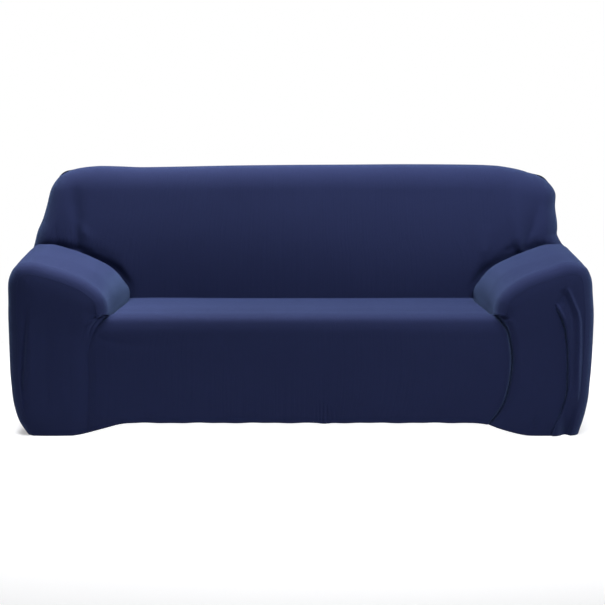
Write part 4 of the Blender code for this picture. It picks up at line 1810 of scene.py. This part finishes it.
@dataclass
class Studio:
    """Plain pale floor, even sky, soft lights and the camera."""

    floor_low: tuple[float, float] = (-3.0, -3.4)
    floor_high: tuple[float, float] = (3.0, 1.5)
    floor_colour: Colour = (0.50, 0.50, 0.51, 1.0)
    floor_roughness: float = 0.9
    floor_gloss: float = 0.1
    floor_glow: float = 0.42
    # Sheet under the cover's front that glows brightly: painted light over the shade the cover
    # casts on the floor.
    under_low: tuple[float, float] = (-0.96, -0.425)
    under_high: tuple[float, float] = (0.96, -0.150)
    under_level: float = 0.0003
    shade_lift_glow: float = 1.0
    sky: float = 1.0
    sky_light: float = 0.04
    camera_place: Place = (0.0, -6.431, 1.346)
    camera_target: Place = (0.0035, -0.431, 0.4768)
    lens: float = 103.2
    sensor: float = 36.0
    lights: tuple[SoftLight, ...] = (
        SoftLight("over_left", (-0.9, 0.45, 2.4), (-0.70, 0.10, 0.5), (1.6, 1.4), 106.0),
        SoftLight("over_middle", (0.2, 0.45, 2.8), (0.1, 0.12, 0.5), (2.2, 1.4), 84.0),
        SoftLight("over_front", (0.2, -0.8, 2.3), (0.1, -0.16, 0.5), (1.4, 1.0), 22.0),
        SoftLight("over_right", (1.35, -0.9, 2.3), (0.90, -0.18, 0.5), (1.6, 1.0), 30.0,
                  spread=math.radians(120.0)),
        SoftLight("left_arm", (-1.05, -0.50, 2.0), (-0.92, -0.36, 0.58), (0.7, 0.7), 4.0,
                  spread=math.radians(50.0)),
        SoftLight("side_right", (4.0, -0.5, 1.4), (0.0, -0.1, 0.45), (1.6, 1.6), 7.5,
                  spread=math.radians(60.0)),
        SoftLight("low_right", (2.0, -3.5, 0.5), (0.0, -0.1, 0.45), (1.6, 1.6), 3.0,
                  spread=math.radians(60.0)),
    )

    def build(self) -> None:
        """Make the floor, the sky, the lights and the camera."""
        self.lay_floor()
        self.light_sky()
        for light in self.lights:
            light.build()
        self.set_camera()
        LOG.info("studio: %d soft lights", len(self.lights))

    def lay_floor(self) -> None:
        """Lay the pale floor and, under the cover's front, a sheet that glows brightly: painted
        light that lifts the cover's shade off the floor there.
        """
        self.lay_sheet("floor", self.floor_low, self.floor_high, 0.0, self.floor_glow)
        self.lay_sheet(
            "floor_shade_lift", self.under_low, self.under_high, self.under_level, self.shade_lift_glow
        )

    def lay_sheet(
        self,
        name: str,
        low: tuple[float, float],
        high: tuple[float, float],
        level: float,
        glow: float,
    ) -> None:
        """Lay one flat sheet of floor, which glows so that it stays pale; the sheet under the
        cover's front glows brightly, as painted light over the cover's shade.

        Args:
            name: Name of the sheet.
            low: Its near left corner.
            high: Its far right corner.
            level: Its height.
            glow: How bright it is without light.
        """
        builder = bmesh.new()
        corners = ((low[0], low[1]), (high[0], low[1]), (high[0], high[1]), (low[0], high[1]))
        builder.faces.new([builder.verts.new((x, y, level)) for x, y in corners])
        mesh = bpy.data.meshes.new(name)
        builder.to_mesh(mesh)
        builder.free()
        material = bpy.data.materials.new("pale_" + name)
        material.use_nodes = True
        shader = material.node_tree.nodes["Principled BSDF"]
        shader.inputs["Base Color"].default_value = self.floor_colour
        shader.inputs["Roughness"].default_value = self.floor_roughness
        shader.inputs["Specular IOR Level"].default_value = self.floor_gloss
        shader.inputs["Emission Color"].default_value = WHITE
        shader.inputs["Emission Strength"].default_value = glow
        mesh.materials.append(material)
        floor = add_object(name, mesh)

    def light_sky(self) -> None:
        """Light everything evenly from all round."""
        world = bpy.data.worlds.new("studio")
        world.use_nodes = True
        tree = world.node_tree
        sky = tree.nodes["Background"]
        sky.inputs["Color"].default_value = WHITE
        view = tree.nodes.new("ShaderNodeLightPath")
        strength = tree.nodes.new("ShaderNodeMapRange")
        strength.inputs["To Min"].default_value = self.sky_light
        strength.inputs["To Max"].default_value = self.sky
        tree.links.new(view.outputs["Is Camera Ray"], strength.inputs["Value"])
        tree.links.new(strength.outputs["Result"], sky.inputs["Strength"])
        bpy.context.scene.world = world

    def set_camera(self) -> None:
        """Put the camera in front of the sofa, a little above its back."""
        camera = bpy.data.cameras.new("camera")
        camera.lens = self.lens
        camera.sensor_width = self.sensor
        view = add_object("camera", camera)
        aim(view, self.camera_place, self.camera_target)
        bpy.context.scene.camera = view
        bpy.context.scene.view_settings.view_transform = "Standard"


@dataclass
class Slipcover:
    """The whole cover, made panel by panel."""

    form: SofaForm = field(default_factory=SofaForm)
    finish: KnitFinish = field(default_factory=KnitFinish)

    def panels(self) -> list[Panel]:
        """Lay out the panels, the back first because the arms end on it.

        Returns:
            The panels.
        """
        shared = (self.form, self.finish)
        back = InsideBack(
            "inside_back", "knit_inside_back", *shared, flat=(2.20, 0.72), flat_area=1.20
        )
        rear = OutsideBack(
            "outside_back", "knit_outside_back", *shared, flat=(2.10, 0.92), flat_area=1.80
        )
        seat = SeatAndApron(
            "seat_and_apron", "knit_seat", *shared, flat=(1.45, 0.92), flat_area=1.22
        )
        made = [back, rear, seat]
        for side in Side:
            made += self.arm_panels(side, back, seat.grooves[side])
        return made

    def arm_panels(self, side: Side, back: InsideBack, groove: SmoothTable) -> list[Panel]:
        """Return the cover and the front of one arm.

        Args:
            side: Which arm.
            back: The inside back, which the arm's cover ends on.
            groove: Depth of the sewn edge between the arm's front and the apron, by height.

        Returns:
            The arm's two panels.
        """
        hand = side.name.lower()
        left = side is Side.LEFT
        cover = ArmCover(
            f"arm_cover_{hand}", f"knit_arm_{hand}", self.form, self.finish,
            flat=(1.26, 0.80), flat_area=0.72, grain=Grain.ACROSS, side=side, back=back,
        )
        front = ArmFront(
            f"arm_front_{hand}", f"knit_front_{hand}", self.form, self.finish,
            flat=(0.34, 0.56), flat_area=0.14, side=side, groove=groove,
            folds=LEFT_FRONT_FOLDS if left else RIGHT_FRONT_FOLDS,
            tuck_under=0.0 if left else 0.022,
            seam_ease=0.065 if left else 0.035,
            seam_under=0.0008 if left else 0.0030,
        )
        return [cover, front]

    def build(self) -> list[bpy.types.Object]:
        """Make every panel and return the finished sheets."""
        return [panel.build() for panel in self.panels()]


def main() -> None:
    """Build the cover and the studio."""
    logging.basicConfig(level=logging.INFO, format="%(name)s: %(message)s")
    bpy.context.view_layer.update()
    sheets = Slipcover().build()
    LOG.info("panels: %d", len(sheets))
    Studio().build()


if __name__ == "__main__":
    main()
